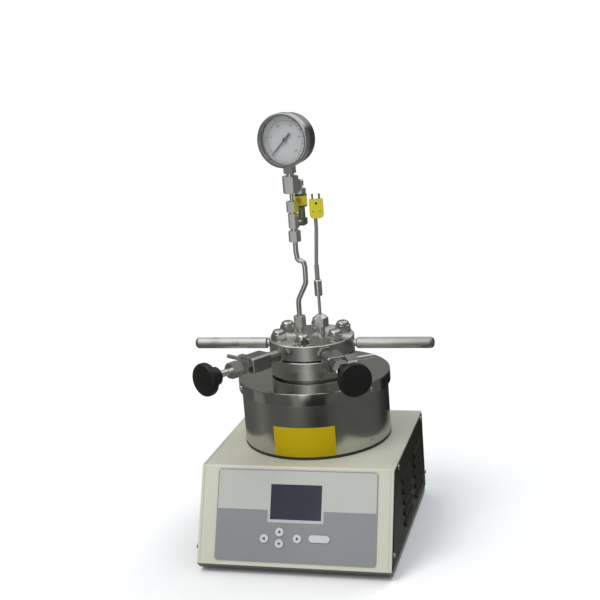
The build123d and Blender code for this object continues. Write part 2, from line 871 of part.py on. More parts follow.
def sensor_socket():
    """Two-slot panel socket for the sensor's flat-pin plug."""
    unit = extrude(RectangleRounded(socket_width, socket_height, socket_corner_r), socket_flange)
    unit += extrude(socket_body_outline(0), -socket_depth)
    gap_x, gap_z = socket_slot_gap
    slot = Rectangle(plug_pin_width + gap_x, plug_pin_thickness + gap_z)
    for side in (-1, 1):
        unit -= Pos(side * socket_slot_pitch / 2, 0, socket_flange) * extrude(slot, -socket_slot_depth)
    return rear_plane * Pos(-socket_x, socket_z, 0) * unit


# ================================================================ power board
def power_board():
    """Board on the tray posts, with its transformer, relay and two capacitors."""
    board = extrude(Rectangle(power_board_length, power_board_width), board_thickness)
    top = board_thickness
    for at, (length, width, height) in ((transformer_at, transformer_size), (relay_at, relay_size)):
        board += Pos(*at, top) * extrude(Rectangle(length, width), height)
    for at in capacitor_places:
        board += Pos(*at, top) * extrude(Circle(capacitor_d / 2), capacitor_height)
    return Pos(*power_board_at, power_board_z()) * board


# ================================================================ stirrer
def stirrer_motor():
    """Flat motor that hangs from the cabinet's top by its flange."""
    low = motor_top_z - motor_height
    body = rod(motor_d, low, motor_top_z)
    body = fillet(body.edges().sort_by(Axis.Z)[:1], motor_edge_r)
    body += rod(motor_flange_d, motor_top_z - motor_flange_thickness, motor_top_z)
    bore = rotor_shaft_d + 2 * running_fit
    return body - rod(bore, motor_top_z - motor_bore_depth, motor_top_z + 1)


def magnet_rotor():
    """Shaft and disc that carry two magnets close under the vessel."""
    shaft_low = motor_top_z - motor_bore_depth + rotor_end_gap
    rotor = rod(rotor_shaft_d, shaft_low, rotor_z)
    rotor += rod(2 * rotor_shaft_d, rotor_z - rotor_hub_thickness, rotor_z)
    rotor += rod(rotor_d, rotor_z, rotor_top_z)
    for side in (-1, 1):
        rotor -= Pos(side * magnet_ring_r, 0, 0) * rod(magnet_d, rotor_top_z - magnet_height, rotor_top_z + 1)
    return rotor


def rotor_magnets():
    magnet = rod(magnet_d, rotor_top_z - magnet_height, rotor_top_z)
    return group(on_circle(magnet, (0, 180), magnet_ring_r))


def stir_bar():
    """Capsule that lies just clear of the vessel's floor."""
    length = stir_bar_length - stir_bar_d
    bar = Rot(0, 90, 0) * Cylinder(stir_bar_d / 2, length)
    for side in (-1, 1):
        bar += Pos(side * length / 2, 0, 0) * Sphere(stir_bar_d / 2)
    return Pos(0, 0, cavity_z + moving_gap + stir_bar_d / 2) * bar


# ================================================================ drum
def drum_base():
    """Turned plate under the drum: a dark ring, a floor and a rim inside the shell."""
    inside = drum_d / 2 - drum_sheet - slip_fit
    rim_top = drum_floor_z + drum_base_rim_height
    bore = rotor_shaft_d / 2 + shaft_clearance
    ring = drum_d / 2 + drum_base_proud
    base = turned(
        (bore, cabinet_top_z), (ring, cabinet_top_z), (ring, drum_floor_z),
        (inside, drum_floor_z), (inside, rim_top), (inside - drum_base_rim, rim_top),
        (inside - drum_base_rim, base_floor_top_z), (bore, base_floor_top_z),
    )
    hole = Pos(0, 0, drum_floor_z + drum_screw_rise) * Rot(0, 90, 0) * Cylinder(
        screw_shank_d / 2, 4 * drum_base_rim)
    for azimuth in drum_screw_azimuths:
        base -= Rot(0, 0, azimuth) * Pos(inside, 0, 0) * hole
    return base


def screw_hole(radius, z, azimuth):
    """Radial hole for a housing screw."""
    hole = Rot(0, 90, 0) * Cylinder(screw_shank_d / 2 + slip_fit, screw_hole_reach)
    return Rot(0, 0, azimuth) * Pos(radius, 0, z) * hole


def drum_shell():
    shell = collar(drum_d, drum_d - 2 * drum_sheet, drum_floor_z, drum_top_z)
    for azimuth in drum_screw_azimuths:
        shell -= screw_hole(drum_d / 2, drum_floor_z + drum_screw_rise, azimuth)
        shell -= screw_hole(drum_d / 2, drum_cover_top_z - cover_screw_rise, azimuth)
    return shell


def drum_cover():
    """Lid pressed from sheet, with a skirt over the shell and a hole for the heater."""
    outer = drum_cover_d / 2
    lid = rod(drum_cover_d, drum_cover_top_z - drum_cover_skirt, drum_cover_top_z)
    lid = fillet(lid.edges().sort_by(Axis.Z)[-1:], drum_cover_edge_r)
    inner_d = drum_cover_d - 2 * drum_cover_sheet
    lid -= rod(inner_d, drum_cover_top_z - drum_cover_skirt - 1, drum_top_z)
    lid -= rod(heater_neck_d + 2 * slip_fit, drum_top_z - 1, drum_cover_top_z + 1)
    for azimuth in drum_screw_azimuths:
        lid -= screw_hole(outer, drum_cover_top_z - cover_screw_rise, azimuth)
    return lid


def heater_collar():
    """Aluminium collar round the vessel; its neck carries the vessel's flange."""
    bore = vessel_outer_d / 2 + heater_gap
    shoulder = flange_z - heater_neck_height
    return turned(
        (bore, insulation_seat_z), (heater_outer_d / 2, insulation_seat_z),
        (heater_outer_d / 2, shoulder), (heater_neck_d / 2, shoulder),
        (heater_neck_d / 2, flange_z), (bore, flange_z),
    )


def band_heater():
    """Split band round the collar, closed by two lugs."""
    low = insulation_seat_z + band_rise
    high = low + band_height
    inner = heater_outer_d / 2
    band = collar(2 * (inner + band_thickness), heater_outer_d, low, high)
    slit = Pos(inner, 0, (low + high) / 2) * Box(4 * band_thickness, band_slit, 2 * band_height)
    band -= slit
    lug = Box(band_lug, band_thickness, band_height / 2, align=(Align.MIN, Align.CENTER, Align.CENTER))
    for side in (-1, 1):
        y = side * (band_slit + band_thickness) / 2
        band += Pos(inner + band_thickness / 2, y, (low + high) / 2) * lug
    return Rot(0, 0, 90) * band


def drum_insulation():
    """Moulded fibre lining that carries the heater collar on its inner ledge."""
    outer = drum_d / 2 - drum_sheet - insulation_gap
    pocket = heater_outer_d / 2 + band_thickness + band_lug + band_clearance
    well = rotor_d / 2 + rotor_clearance
    rim_inner = drum_d / 2 - drum_sheet - slip_fit - drum_base_rim
    ledge = drum_floor_z + drum_base_rim_height + slip_fit
    return turned(
        (well, base_floor_top_z), (rim_inner - slip_fit, base_floor_top_z),
        (rim_inner - slip_fit, ledge), (outer, ledge),
        (outer, drum_top_z - insulation_top_gap), (pocket, drum_top_z - insulation_top_gap),
        (pocket, insulation_seat_z), (well, insulation_seat_z),
    )


# ================================================================ vessel
def bolt_azimuths():
    return [bolt_first_azimuth + k * 360 / bolt_count for k in range(bolt_count)]


def bolt_pattern(shape):
    return on_circle(shape, bolt_azimuths(), bolt_circle_d / 2)


def vessel_cup():
    """Thick-walled cup with a flange, a gasket groove and stud holes."""
    cup = rod(vessel_outer_d, vessel_z, flange_z)
    cup = fillet(cup.edges().sort_by(Axis.Z)[:1], vessel_bottom_r)
    flange = rod(flange_d, flange_z, flange_top_z)
    cup += chamfer(flange.edges().filter_by(GeomType.CIRCLE), rim_chamfer)
    cavity = rod(vessel_inner_d, cavity_z, flange_top_z + 1)
    cavity = fillet(cavity.edges().sort_by(Axis.Z)[:1], vessel_bottom_r / 2)
    cup -= cavity
    groove_z = flange_top_z + head_gap - gasket_thickness
    cup -= collar(gasket_outer_d, gasket_inner_d, groove_z, flange_top_z + 1)
    for hole in bolt_pattern(rod(stud_d, flange_top_z - stud_depth, flange_top_z + 1)):
        cup -= hole
    return cup


def vessel_gasket():
    return collar(gasket_outer_d, gasket_inner_d, head_z - gasket_thickness, head_z)


def vessel_head():
    """Flat head with bolt holes, side ports and two ports on top."""
    head = rod(flange_d, head_z, head_top_z)
    head = chamfer(head.edges().filter_by(GeomType.CIRCLE), rim_chamfer)
    for hole in bolt_pattern(rod(stud_hole_d, head_z - 1, head_top_z + 1)):
        head -= hole
    head -= Pos(*gauge_port, 0) * rod(line_bore_d, head_z - 1, head_top_z + 1)
    head -= Pos(*probe_port, 0) * rod(probe_d + 2 * slip_fit, head_z - 1, head_top_z + 1)
    for azimuth in (0, 180):
        head -= side_bore(azimuth, lever_neck_d, flange_d / 2 - lever_thread_depth)
    for azimuth in (left_valve_azimuth, right_valve_azimuth):
        head -= side_bore(azimuth, valve_thread_d, flange_d / 2 - valve_thread_depth)
    return head


def side_bore(azimuth, diameter, inner_radius):
    """Blind hole from the rim of the head towards its axis."""
    bore = Rot(0, 90, 0) * Cylinder(diameter / 2, flange_d, align=(Align.CENTER, Align.CENTER, Align.MIN))
    return Rot(0, 0, azimuth) * Pos(inner_radius, 0, port_z) * bore


def head_studs():
    top = head_top_z + washer_thickness + nut_thread_depth - stud_end_gap
    return group(bolt_pattern(rod(stud_d, flange_top_z - stud_depth, top)))


def head_washers():
    washer = collar(washer_d, stud_hole_d, head_top_z, head_top_z + washer_thickness)
    return group(bolt_pattern(washer))


def acorn_nuts():
    """Blind nuts with a chamfered hexagon and a round cap."""
    low = head_top_z + washer_thickness
    hex_top = low + nut_hex_height
    dome_d = nut_across_flats * 0.94
    dome = rod(dome_d, hex_top, hex_top + nut_dome_height)
    dome = fillet(dome.edges().sort_by(Axis.Z)[-1:], nut_dome_height * 0.93)
    nut = hex_nut(nut_across_flats, low, hex_top, 0) + dome
    nut -= rod(stud_d, low - 1, low + nut_thread_depth)
    return group(bolt_pattern(nut))


def side_levers():
    """Two plain bars screwed into the head, used to lift and steady the vessel."""
    inner = flange_d / 2 - lever_thread_depth
    bar_start = flange_d / 2 + lever_neck
    bar = rod(lever_d, bar_start, lever_reach)
    ends = bar.edges().filter_by(GeomType.CIRCLE).sort_by(Axis.Z)
    bar = fillet(ends[-1:], lever_tip_r)
    bar = chamfer(bar.edges().filter_by(GeomType.CIRCLE).sort_by(Axis.Z)[:1], lever_root_chamfer)
    bar += rod(lever_neck_d, inner, bar_start)
    bar = Pos(0, 0, port_z) * Rot(0, 90, 0) * bar
    return group(on_circle(bar, (0, 180)))


# ================================================================ valves
def valve_body(plane, reach):
    """Forged body with a coupling to the head, an outlet boss and a bonnet neck."""
    half = valve_length / 2
    block = Box(valve_width, valve_height, valve_length)
    block = chamfer(block.edges().filter_by(Axis.Z), valve_chamfer)
    block = chamfer(block.faces().sort_by(Axis.Z)[-1].edges(), valve_chamfer / 2)
    rim = flange_d / 2 - reach
    neck = rod(valve_inlet_d, rim, -half)
    neck += hex_nut(valve_inlet_hex, rim, rim + valve_inlet_hex_length, 0)
    neck += rod(valve_thread_d, rim - valve_thread_depth, rim)
    boss = Rot(0, 90, 0) * Cylinder(
        outlet_boss_d / 2, outlet_boss, align=(Align.CENTER, Align.CENTER, Align.MIN))
    bonnet = hex_nut(bonnet_af, half, half + bonnet_length, 0)
    body = block + neck + Pos(valve_width / 2, 0, 0) * boss + bonnet
    body -= rod(stem_d + 2 * running_fit, -moving_gap, half + bonnet_length + 1)
    body -= rod(passage_d, rim - valve_thread_depth - 1, 0)
    outlet = Rot(0, 90, 0) * Cylinder(
        outlet_shank_d / 2, valve_width, align=(Align.CENTER, Align.CENTER, Align.MIN))
    body -= Pos(valve_width / 4, 0, 0) * outlet
    return plane * body


def valve_bodies():
    return group([valve_body(left_valve, left_valve_reach), valve_body(right_valve, right_valve_reach)])


def valve_packing_nuts():
    low = valve_length / 2 + bonnet_length
    nut = hex_nut(packing_nut_af, low, low + packing_nut_length, stem_d + 2 * running_fit)
    return group([left_valve * nut, right_valve * nut])


def outlet_start():
    return valve_width / 2 + outlet_boss


def outlet_free_start():
    """Distance from the stem's axis to where the outlet tube has its full diameter."""
    return outlet_start() + outlet_nut_length + outlet_shoulder


def outlet_tube():
    """Tube with a turned-down end that seats in the valve's boss."""
    free_start = outlet_free_start()
    tube = rod(outlet_shank_d, valve_width / 4, free_start)
    tube += rod(outlet_tube_d, free_start, outlet_tube_reach)
    tube -= rod(outlet_tube_d - 2 * outlet_tube_wall, 0, outlet_tube_reach + 1)
    return Rot(0, 90, 0) * tube


def valve_outlet_tubes():
    return group([left_valve * outlet_tube(), right_valve * outlet_tube()])


def valve_stem(plane):
    """Needle stem, shut at rest, that reaches into the knob."""
    top = knob_at + knob_hub + knob_rim - knob_cap
    stem = rod(stem_d, stem_tip_length, top)
    tip = Cone(stem_d / 2, passage_d / 2, stem_tip_length, align=(Align.CENTER, Align.CENTER, Align.MIN))
    return plane * (stem + Pos(0, 0, stem_tip_length) * Rot(180, 0, 0) * tip)


def valve_knob(plane):
    """Round hand knob with a stepped hub, a domed face and a small square cap."""
    low = knob_at
    face = low + knob_hub + knob_rim
    dome_r = ((knob_d / 2) ** 2 + knob_dome ** 2) / (2 * knob_dome)
    hub = rod(knob_hub_d, low, low + knob_hub)
    hub = chamfer(hub.edges().sort_by(Axis.Z)[:1], knob_hub_chamfer)
    rim = rod(knob_d, low + knob_hub, face) & Pos(0, 0, face - dome_r) * Sphere(dome_r)
    rim = fillet(rim.edges().filter_by(GeomType.CIRCLE), knob_edge_r)
    cap = extrude(Rectangle(knob_cap, knob_cap), knob_cap_rise + knob_dome)
    knob = hub + rim + Pos(0, 0, face - knob_dome) * cap
    knob -= rod(stem_d + 2 * running_fit, low - 1, face - knob_cap + moving_gap)
    return plane * knob


# ================================================================ gauge line
def gauge_fitting():
    """Straight connector between the head and the gauge line."""
    hex_top = head_top_z + port_hex_height
    fitting = hex_nut(port_hex_af, head_top_z, hex_top, 0)
    fitting += rod(port_neck_d, hex_top, line_nut_z)
    fitting -= rod(line_bore_d, head_top_z - 1, line_nut_z + 1)
    fitting -= rod(line_tube_d, line_nut_z - line_seat, line_nut_z + 1)
    return Pos(*gauge_port, 0) * fitting


def tube_nuts():
    """Compression nuts of the gauge line and of the two valve outlets."""
    port_nut = hex_nut(line_nut_af, line_nut_z, line_nut_z + line_nut_height, line_tube_d)
    lower_nut = hex_nut(line_nut_af, lower_nut_z, lower_nut_z + line_nut_height, line_tube_d)
    upper_nut = hex_nut(line_nut_af, upper_nut_z, upper_nut_z + line_nut_height, adapter_stem_d)
    outlet_nut = hex_nut(outlet_nut_af, 0, outlet_nut_length, outlet_shank_d)
    outlet_nut = Pos(outlet_start(), 0, 0) * Rot(0, 90, 0) * outlet_nut
    return group([
        Pos(*gauge_port, 0) * port_nut,
        Pos(*tee_port, 0) * lower_nut,
        Pos(*tee_port, 0) * upper_nut,
        left_valve * outlet_nut,
        right_valve * outlet_nut,
    ])


def line_path():
    """Route of the gauge line: straight runs joined by arcs."""
    x0, y0 = gauge_port
    x1, y1 = tee_port
    start = line_nut_z - line_seat
    span = tee_z - start
    points = [(x0, y0, start)]
    points += [(x0 + shift, y0, start + share * span) for shift, share in line_bends]
    points += [(x1, y1, start + line_upper_bend * span), (x1, y1, tee_z)]
    return FilletPolyline(*points, radius=list(line_bend_radii))


def gauge_tube():
    path = line_path()
    return sweep(Plane(origin=path @ 0, z_dir=path % 0) * Circle(line_tube_d / 2), path)


def gauge_tee():
    """Forged tee: hexagon run, two necks and a side arm for the relief valve."""
    body = hexagon(tee_af, tee_z, tee_top_z)
    body += rod(line_neck_d, tee_z - line_neck_length, tee_z)
    body += rod(line_neck_d, tee_top_z, upper_nut_z)
    arm = Rot(0, 90, 0) * Cylinder(
        relief_arm_d / 2, relief_reach - relief_elbow / 2, align=(Align.CENTER, Align.CENTER, Align.MIN))
    body += Rot(0, 0, relief_azimuth) * Pos(0, 0, relief_arm_z()) * arm
    body -= rod(line_tube_d, tee_z - line_neck_length - 1, tee_z)
    body -= rod(line_bore_d, tee_z - 1, tee_top_z - adapter_seat)
    body -= rod(adapter_stem_d, tee_top_z - adapter_seat, upper_nut_z + 1)
    return Pos(*tee_port, 0) * body


def relief_arm_z():
    return tee_z + tee_height / 2 - relief_arm_drop


def gauge_adapter():
    """Stem into the tee and a long hexagon that takes the gauge's thread."""
    adapter = hex_nut(adapter_af, adapter_z, adapter_top_z, 0)
    adapter += rod(adapter_stem_d, tee_top_z - adapter_seat, adapter_z)
    adapter -= rod(line_bore_d / 2, tee_top_z - adapter_seat - 1, adapter_top_z)
    adapter -= rod(gauge_thread_d, adapter_top_z - gauge_thread_depth, adapter_top_z + 1)
    return Pos(*tee_port, 0) * adapter


# ================================================================ relief valve
def relief_place():
    offset_xy = heading(relief_azimuth) * relief_reach
    return Pos(tee_port[0] + offset_xy.X, tee_port[1] + offset_xy.Y, 0)


def relief_sleeve_z():
    return relief_arm_z() + relief_body_rise


def relief_valve_body():
    """Elbow on the tee's arm and the round body above it."""
    z = relief_arm_z()
    elbow = Pos(0, 0, z) * Rot(0, 0, relief_azimuth) * Box(relief_elbow, relief_elbow, relief_elbow)
    elbow = chamfer(elbow.edges().sort_by(Axis.Z)[:4], relief_elbow_chamfer)
    top = relief_sleeve_z() + relief_sleeve_height
    body = elbow + rod(relief_body_d, z, relief_sleeve_z()) + rod(relief_stud_d, z, top + relief_stud_rise)
    return relief_place() * body


def relief_valve_sleeve():
    low = relief_sleeve_z()
    sleeve = rod(relief_sleeve_d, low, low + relief_sleeve_height)
    sleeve = fillet(sleeve.edges().filter_by(GeomType.CIRCLE), relief_sleeve_edge_r)
    return relief_place() * (sleeve - rod(relief_stud_d, low - 1, low + relief_sleeve_height + 1))


def relief_valve_cap():
    """Adjusting cap: hexagon shoulder, groove and round top."""
    low = relief_sleeve_z() + relief_sleeve_height
    hex_top = low + relief_cap_hex
    neck_top = hex_top + relief_cap_neck
    top = neck_top + relief_cap_height
    cap = hex_nut(relief_cap_af, low, hex_top, 0) + rod(relief_cap_neck_d, hex_top, neck_top)
    button = rod(relief_cap_d, neck_top, top)
    cap += chamfer(button.edges().filter_by(GeomType.CIRCLE), 1.0)
    return relief_place() * (cap - rod(relief_stud_d, low - 1, low + relief_stud_rise))


# ================================================================ pressure gauge
def gauge_movement():
    """Socket, Bourdon block and pinion carrier, joined to the thread at the foot."""
    size = gauge_socket_size
    dial_back = gauge_dial_front - gauge_dial_thickness
    socket = Box(size, gauge_rise - gauge_case_d / 2 + 2 * gauge_case_wall, size,
                 align=(Align.CENTER, Align.MIN, Align.CENTER))
    unit = Pos(0, -gauge_rise, 0) * socket
    inner_back = -gauge_back + gauge_case_wall
    pillar_foot = -gauge_case_d / 2 + gauge_case_wall
    pillar = Box(size * 0.7, movement_height / 2 - pillar_foot, size * 0.7,
                 align=(Align.CENTER, Align.MIN, Align.CENTER))
    unit += Pos(0, pillar_foot, 0) * pillar
    block = Box(movement_width, movement_height, dial_back - inner_back,
                align=(Align.CENTER, Align.CENTER, Align.MIN))
    unit += Pos(0, 0, inner_back) * block
    unit -= rod(pointer_spindle_d + 2 * running_fit, dial_back - pointer_spindle, dial_back + 1)
    thread = rod(gauge_thread_d, gauge_foot_z - gauge_thread_gap - gauge_thread_depth + gauge_thread_end_gap,
                 gauge_foot_z)
    return gauge_plane * unit + Pos(*tee_port, 0) * thread


def gauge_case():
    """Shallow can, open to the front, with a hole at the foot for the socket."""
    inner_d = gauge_case_d - 2 * gauge_case_wall
    case = rod(gauge_case_d, -gauge_back, gauge_case_front)
    case = fillet(case.edges().sort_by(Axis.Z)[:1], gauge_case_edge_r)
    case -= rod(inner_d, -gauge_back + gauge_case_wall, gauge_case_front + 1)
    foot = gauge_socket_size + 2 * slip_fit
    case -= Pos(0, -gauge_case_d / 2, 0) * Box(foot, gauge_case_d / 3, foot)
    return gauge_plane * case


def gauge_bezel():
    """Polished ring over the front of the case, with a rounded lip."""
    inner_r = gauge_case_d / 2
    lip_r = gauge_bezel_d / 2 - gauge_bezel_lip
    outer_r = gauge_bezel_d / 2
    bezel = turned(
        (inner_r, gauge_bezel_back), (outer_r, gauge_bezel_back), (outer_r, gauge_front),
        (lip_r, gauge_front), (lip_r, lens_front()), (inner_r, lens_front()),
    )
    front = bezel.edges().filter_by(GeomType.CIRCLE).group_by(Axis.Z)[-1]
    return gauge_plane * fillet(front.sort_by(SortBy.RADIUS)[-1:], gauge_bezel_edge_r)


def lens_front():
    return gauge_case_front + gauge_lens_thickness


def gauge_lens():
    radius = gauge_case_d / 2 - gauge_lens_gap
    return gauge_plane * rod(2 * radius, gauge_case_front, lens_front())


def gauge_dial():
    dial = collar(gauge_dial_d, pointer_spindle_d + 4 * running_fit,
                  gauge_dial_front - gauge_dial_thickness, gauge_dial_front)
    return gauge_plane * dial


def gauge_pointer():
    """Needle with a broad tail, on a spindle in the movement; it rests at zero."""
    low = gauge_dial_front + pointer_gap
    needle = Polygon(
        (-pointer_tail, -pointer_tail_width / 2), (-pointer_hub_d / 2, -pointer_width / 2),
        (0, -pointer_width / 2), (pointer_length, -pointer_tip_width / 2),
        (pointer_length, pointer_tip_width / 2), (0, pointer_width / 2),
        (-pointer_hub_d / 2, pointer_width / 2), (-pointer_tail, pointer_tail_width / 2),
        align=None,
    )
    pointer = Pos(0, 0, low) * extrude(needle, pointer_thickness)
    pointer += rod(pointer_hub_d, low, low + pointer_thickness + pointer_hub_rise)
    foot = gauge_dial_front - gauge_dial_thickness - pointer_spindle + moving_gap
    pointer += rod(pointer_spindle_d, foot, low)
    return gauge_plane * Rot(0, 0, pointer_zero_angle) * pointer


# ================================================================ thermocouple
def probe_nut_z():
    return head_top_z + probe_neck_height


def probe_sleeve_z():
    return head_top_z + probe_sleeve_rise


def thermocouple_fitting():
    """Sealing gland: a neck on the head and a long nut with a conical top."""
    low = probe_nut_z()
    top = low + probe_nut_height
    fitting = rod(probe_neck_d, head_top_z, low) + hex_nut(probe_nut_af, low, top, 0)
    cone = Cone(probe_nut_af / 2, probe_nut_top_d / 2, probe_nut_cone,
                align=(Align.CENTER, Align.CENTER, Align.MIN))
    fitting += Pos(0, 0, top) * cone
    fitting -= rod(probe_d, head_top_z - 1, top + probe_nut_cone + 1)
    return Pos(*probe_port, 0) * fitting


def thermocouple_probe():
    """Sheath into the vessel, with the crimped sleeve where the lead begins."""
    low = probe_sleeve_z()
    tip = cavity_z + probe_tip_clearance
    probe = rod(probe_d, tip, low)
    probe = fillet(probe.edges().filter_by(GeomType.CIRCLE).sort_by(Axis.Z)[:1], probe_d * 0.45)
    sleeve = rod(probe_sleeve_d, low, low + probe_sleeve_length)
    probe += chamfer(sleeve.edges().filter_by(GeomType.CIRCLE), 1.0)
    return Pos(*probe_port, 0) * probe


def lead_end():
    """Where the lead meets the foot of the plug."""
    turn = radians(plug_turn)
    x = plug_at[0] - plug_lead_offset * cos(turn)
    y = plug_at[1] - plug_lead_offset * sin(turn)
    return x, y, head_top_z + plug_rise


def thermocouple_lead():
    """Stiff sheathed lead with a short boot at its foot."""
    x0, y0 = probe_port
    x1, y1, z1 = lead_end()
    z0 = probe_sleeve_z() + probe_sleeve_length
    points = [
        (x0, y0, z0),
        (x0, y0, z0 + lead_boot_length),
        (x1, y1, z1 - lead_straight),
        (x1, y1, z1),
    ]
    path = FilletPolyline(*points, radius=[lead_bend_r, lead_bend_r])
    lead = sweep(Plane(origin=path @ 0, z_dir=path % 0) * Circle(lead_d / 2), path)
    boot = Pos(x0, y0, 0) * rod(lead_boot_d, z0, z0 + lead_boot_length * 0.9)
    return lead + boot


def plug_place():
    return Pos(*plug_at, head_top_z + plug_rise) * Rot(0, 0, plug_turn)


def thermocouple_plug():
    """Flat two-pin plug with rounded shoulders where the lead goes in."""
    outline = Pos(0, plug_height / 2) * Rectangle(plug_width, plug_height)
    outline = fillet(outline.vertices().sort_by(Axis.Y)[:2], plug_corner_r)
    body = extrude(Plane.XZ * outline, plug_thickness / 2, both=True)
    body = chamfer(body.faces().sort_by(Axis.Y)[0].edges(), plug_edge_r)
    body = chamfer(body.faces().sort_by(Axis.Y)[-1].edges(), plug_edge_r)
    for pin in plug_pin_blanks():
        body -= pin
    screw_hole_z = plug_height - plug_screw_from_top
    body -= Pos(0, -plug_thickness / 2, screw_hole_z) * Rot(90, 0, 0) * Cylinder(
        plug_screw_d / 2, 2 * plug_screw_depth)
    return plug_place() * body


def plug_pin_blanks():
    pin = Box(plug_pin_width, plug_pin_thickness, plug_pin_length + plug_pin_depth,
              align=(Align.CENTER, Align.CENTER, Align.MIN))
    return [Pos(side * plug_pin_pitch / 2, 0, plug_height - plug_pin_depth) * pin for side in (-1, 1)]


def plug_pins():
    return plug_place() * group(plug_pin_blanks())


# ================================================================ build
def build_nodes():
    keys = key_shapes()
    return {
        "base_tray": base_tray(),
        "rubber_feet": rubber_feet(),
        "cabinet_cover": cabinet_cover(),
        "left_side_panel": side_panel(-1),
        "right_side_panel": side_panel(1),
        "housing_screws": housing_screws(),
        "front_overlay": front_overlay(),
        "display_module": display_module(),
        **{name: key_cap(*shape) for name, shape in keys.items()},
        "control_board": control_board(),
        "power_board": power_board(),
        "power_inlet": power_inlet(),
        "rocker_switch": rocker_switch(),
        "sensor_socket": sensor_socket(),
        "stirrer_motor": stirrer_motor(),
        "magnet_rotor": magnet_rotor(),
        "rotor_magnets": rotor_magnets(),
        "drum_base": drum_base(),
        "drum_shell": drum_shell(),
        "drum_cover": drum_cover(),
        "heater_collar": heater_collar(),
        "band_heater": band_heater(),
        "drum_insulation": drum_insulation(),
        "vessel_cup": vessel_cup(),
        "vessel_gasket": vessel_gasket(),
        "vessel_head": vessel_head(),
        "head_studs": head_studs(),
        "head_washers": head_washers(),
        "acorn_nuts": acorn_nuts(),
        "side_levers": side_levers(),
        "stir_bar": stir_bar(),
        "head_fittings": group([gauge_fitting(), thermocouple_fitting()]),
        "thermocouple_probe": thermocouple_probe(),
        "thermocouple_lead": thermocouple_lead(),
        "thermocouple_plug": thermocouple_plug(),
        "plug_pins": plug_pins(),
        "tube_nuts": tube_nuts(),
        "gauge_tube": gauge_tube(),
        "gauge_tee": gauge_tee(),
        "gauge_adapter": gauge_adapter(),
        "relief_valve_body": relief_valve_body(),
        "relief_valve_sleeve": relief_valve_sleeve(),
        "relief_valve_cap": relief_valve_cap(),
        "gauge_movement": gauge_movement(),
        "gauge_case": gauge_case(),
        "gauge_bezel": gauge_bezel(),
        "gauge_lens": gauge_lens(),
        "gauge_dial": gauge_dial(),
        "gauge_pointer": gauge_pointer(),
        "valve_bodies": valve_bodies(),
        "valve_packing_nuts": valve_packing_nuts(),
        "valve_outlet_tubes": valve_outlet_tubes(),
        "left_stem": valve_stem(left_valve),
        "right_stem": valve_stem(right_valve),
        "left_knob": valve_knob(left_valve),
        "right_knob": valve_knob(right_valve),
    }


if __name__ == "__main__":
    os.makedirs("parts", exist_ok=True)
    for node_name, node_shape in build_nodes().items():
        export_step(node_shape, f"parts/{node_name}.step")
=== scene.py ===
# %% [markdown]
# # A bench-top hydrothermal reactor
# A small pressure vessel hangs in a heated steel drum. The drum stands on a cabinet with a
# sloping control panel. This lesson loads the finished solids, gives each one its real
# finish, and adds the thin things that solids leave out: print, marks and a label.

# %% Load the fixed solids
from math import cos, pi, radians, sin

import bmesh
import bpy
from mathutils import Matrix, Vector


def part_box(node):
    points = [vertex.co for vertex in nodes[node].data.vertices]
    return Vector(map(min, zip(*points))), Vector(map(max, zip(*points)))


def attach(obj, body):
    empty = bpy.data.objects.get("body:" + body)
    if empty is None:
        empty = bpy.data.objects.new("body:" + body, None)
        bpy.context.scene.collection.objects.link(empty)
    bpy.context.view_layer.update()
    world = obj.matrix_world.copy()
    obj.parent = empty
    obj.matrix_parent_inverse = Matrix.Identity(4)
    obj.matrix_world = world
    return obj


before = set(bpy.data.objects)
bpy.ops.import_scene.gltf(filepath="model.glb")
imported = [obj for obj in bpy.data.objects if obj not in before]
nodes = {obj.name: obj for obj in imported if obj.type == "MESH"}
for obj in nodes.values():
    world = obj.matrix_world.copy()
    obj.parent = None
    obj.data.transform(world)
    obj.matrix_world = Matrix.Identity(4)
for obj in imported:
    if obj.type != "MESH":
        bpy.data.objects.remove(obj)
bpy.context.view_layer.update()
MM = 0.001

# %% [markdown]
# ## Work places
# Every object stays at the origin, and its place is in its mesh. A piece is therefore made
# flat at the origin and then moved by one matrix. Three of these matrices are made here: for
# the sloping panel, the gauge's face and the rear of the cabinet. They read the frame, which
# knows how far each solid reaches.

# %% Places on the object


def place(origin, right, up):
    """Matrix of a flat place: x to the right, y up, z towards the viewer. Millimetres."""
    x, y = Vector(right).normalized(), Vector(up).normalized()
    turn = Matrix((x, y, x.cross(y))).transposed().to_4x4()
    return Matrix.Translation(Vector(origin) * MM) @ turn


def middle_of(name):
    """Middle of a solid's box, in millimetres."""
    low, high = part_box(name)
    return (low + high) / (2 * MM)


cover_low, cover_high = (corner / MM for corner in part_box("cabinet_cover"))
PANEL_EDGE_Y = -109
panel_up = (0, PANEL_EDGE_Y - cover_low.y, cover_high.z - cover_low.z)
PANEL = place((middle_of("front_overlay").x, PANEL_EDGE_Y, cover_high.z), (1, 0, 0), panel_up)
GAUGE_X, GAUGE_Y, GAUGE_HEADING = -8.8, -8.8, radians(260)
gauge_right = (-sin(GAUGE_HEADING), cos(GAUGE_HEADING), 0)
GAUGE = place((GAUGE_X, GAUGE_Y, middle_of("gauge_dial").z), gauge_right, (0, 0, 1))
REAR = place((0, cover_high.y, 0), (-1, 0, 0), (0, 0, 1))
print("panel faces", [round(x, 3) for x in PANEL.col[2][:3]])

# %% [markdown]
# ## Camera
# The camera stands to the right of the reactor and a little above the head. Its lens is a
# short telephoto, so upright lines hardly converge. The small roll leans the picture.

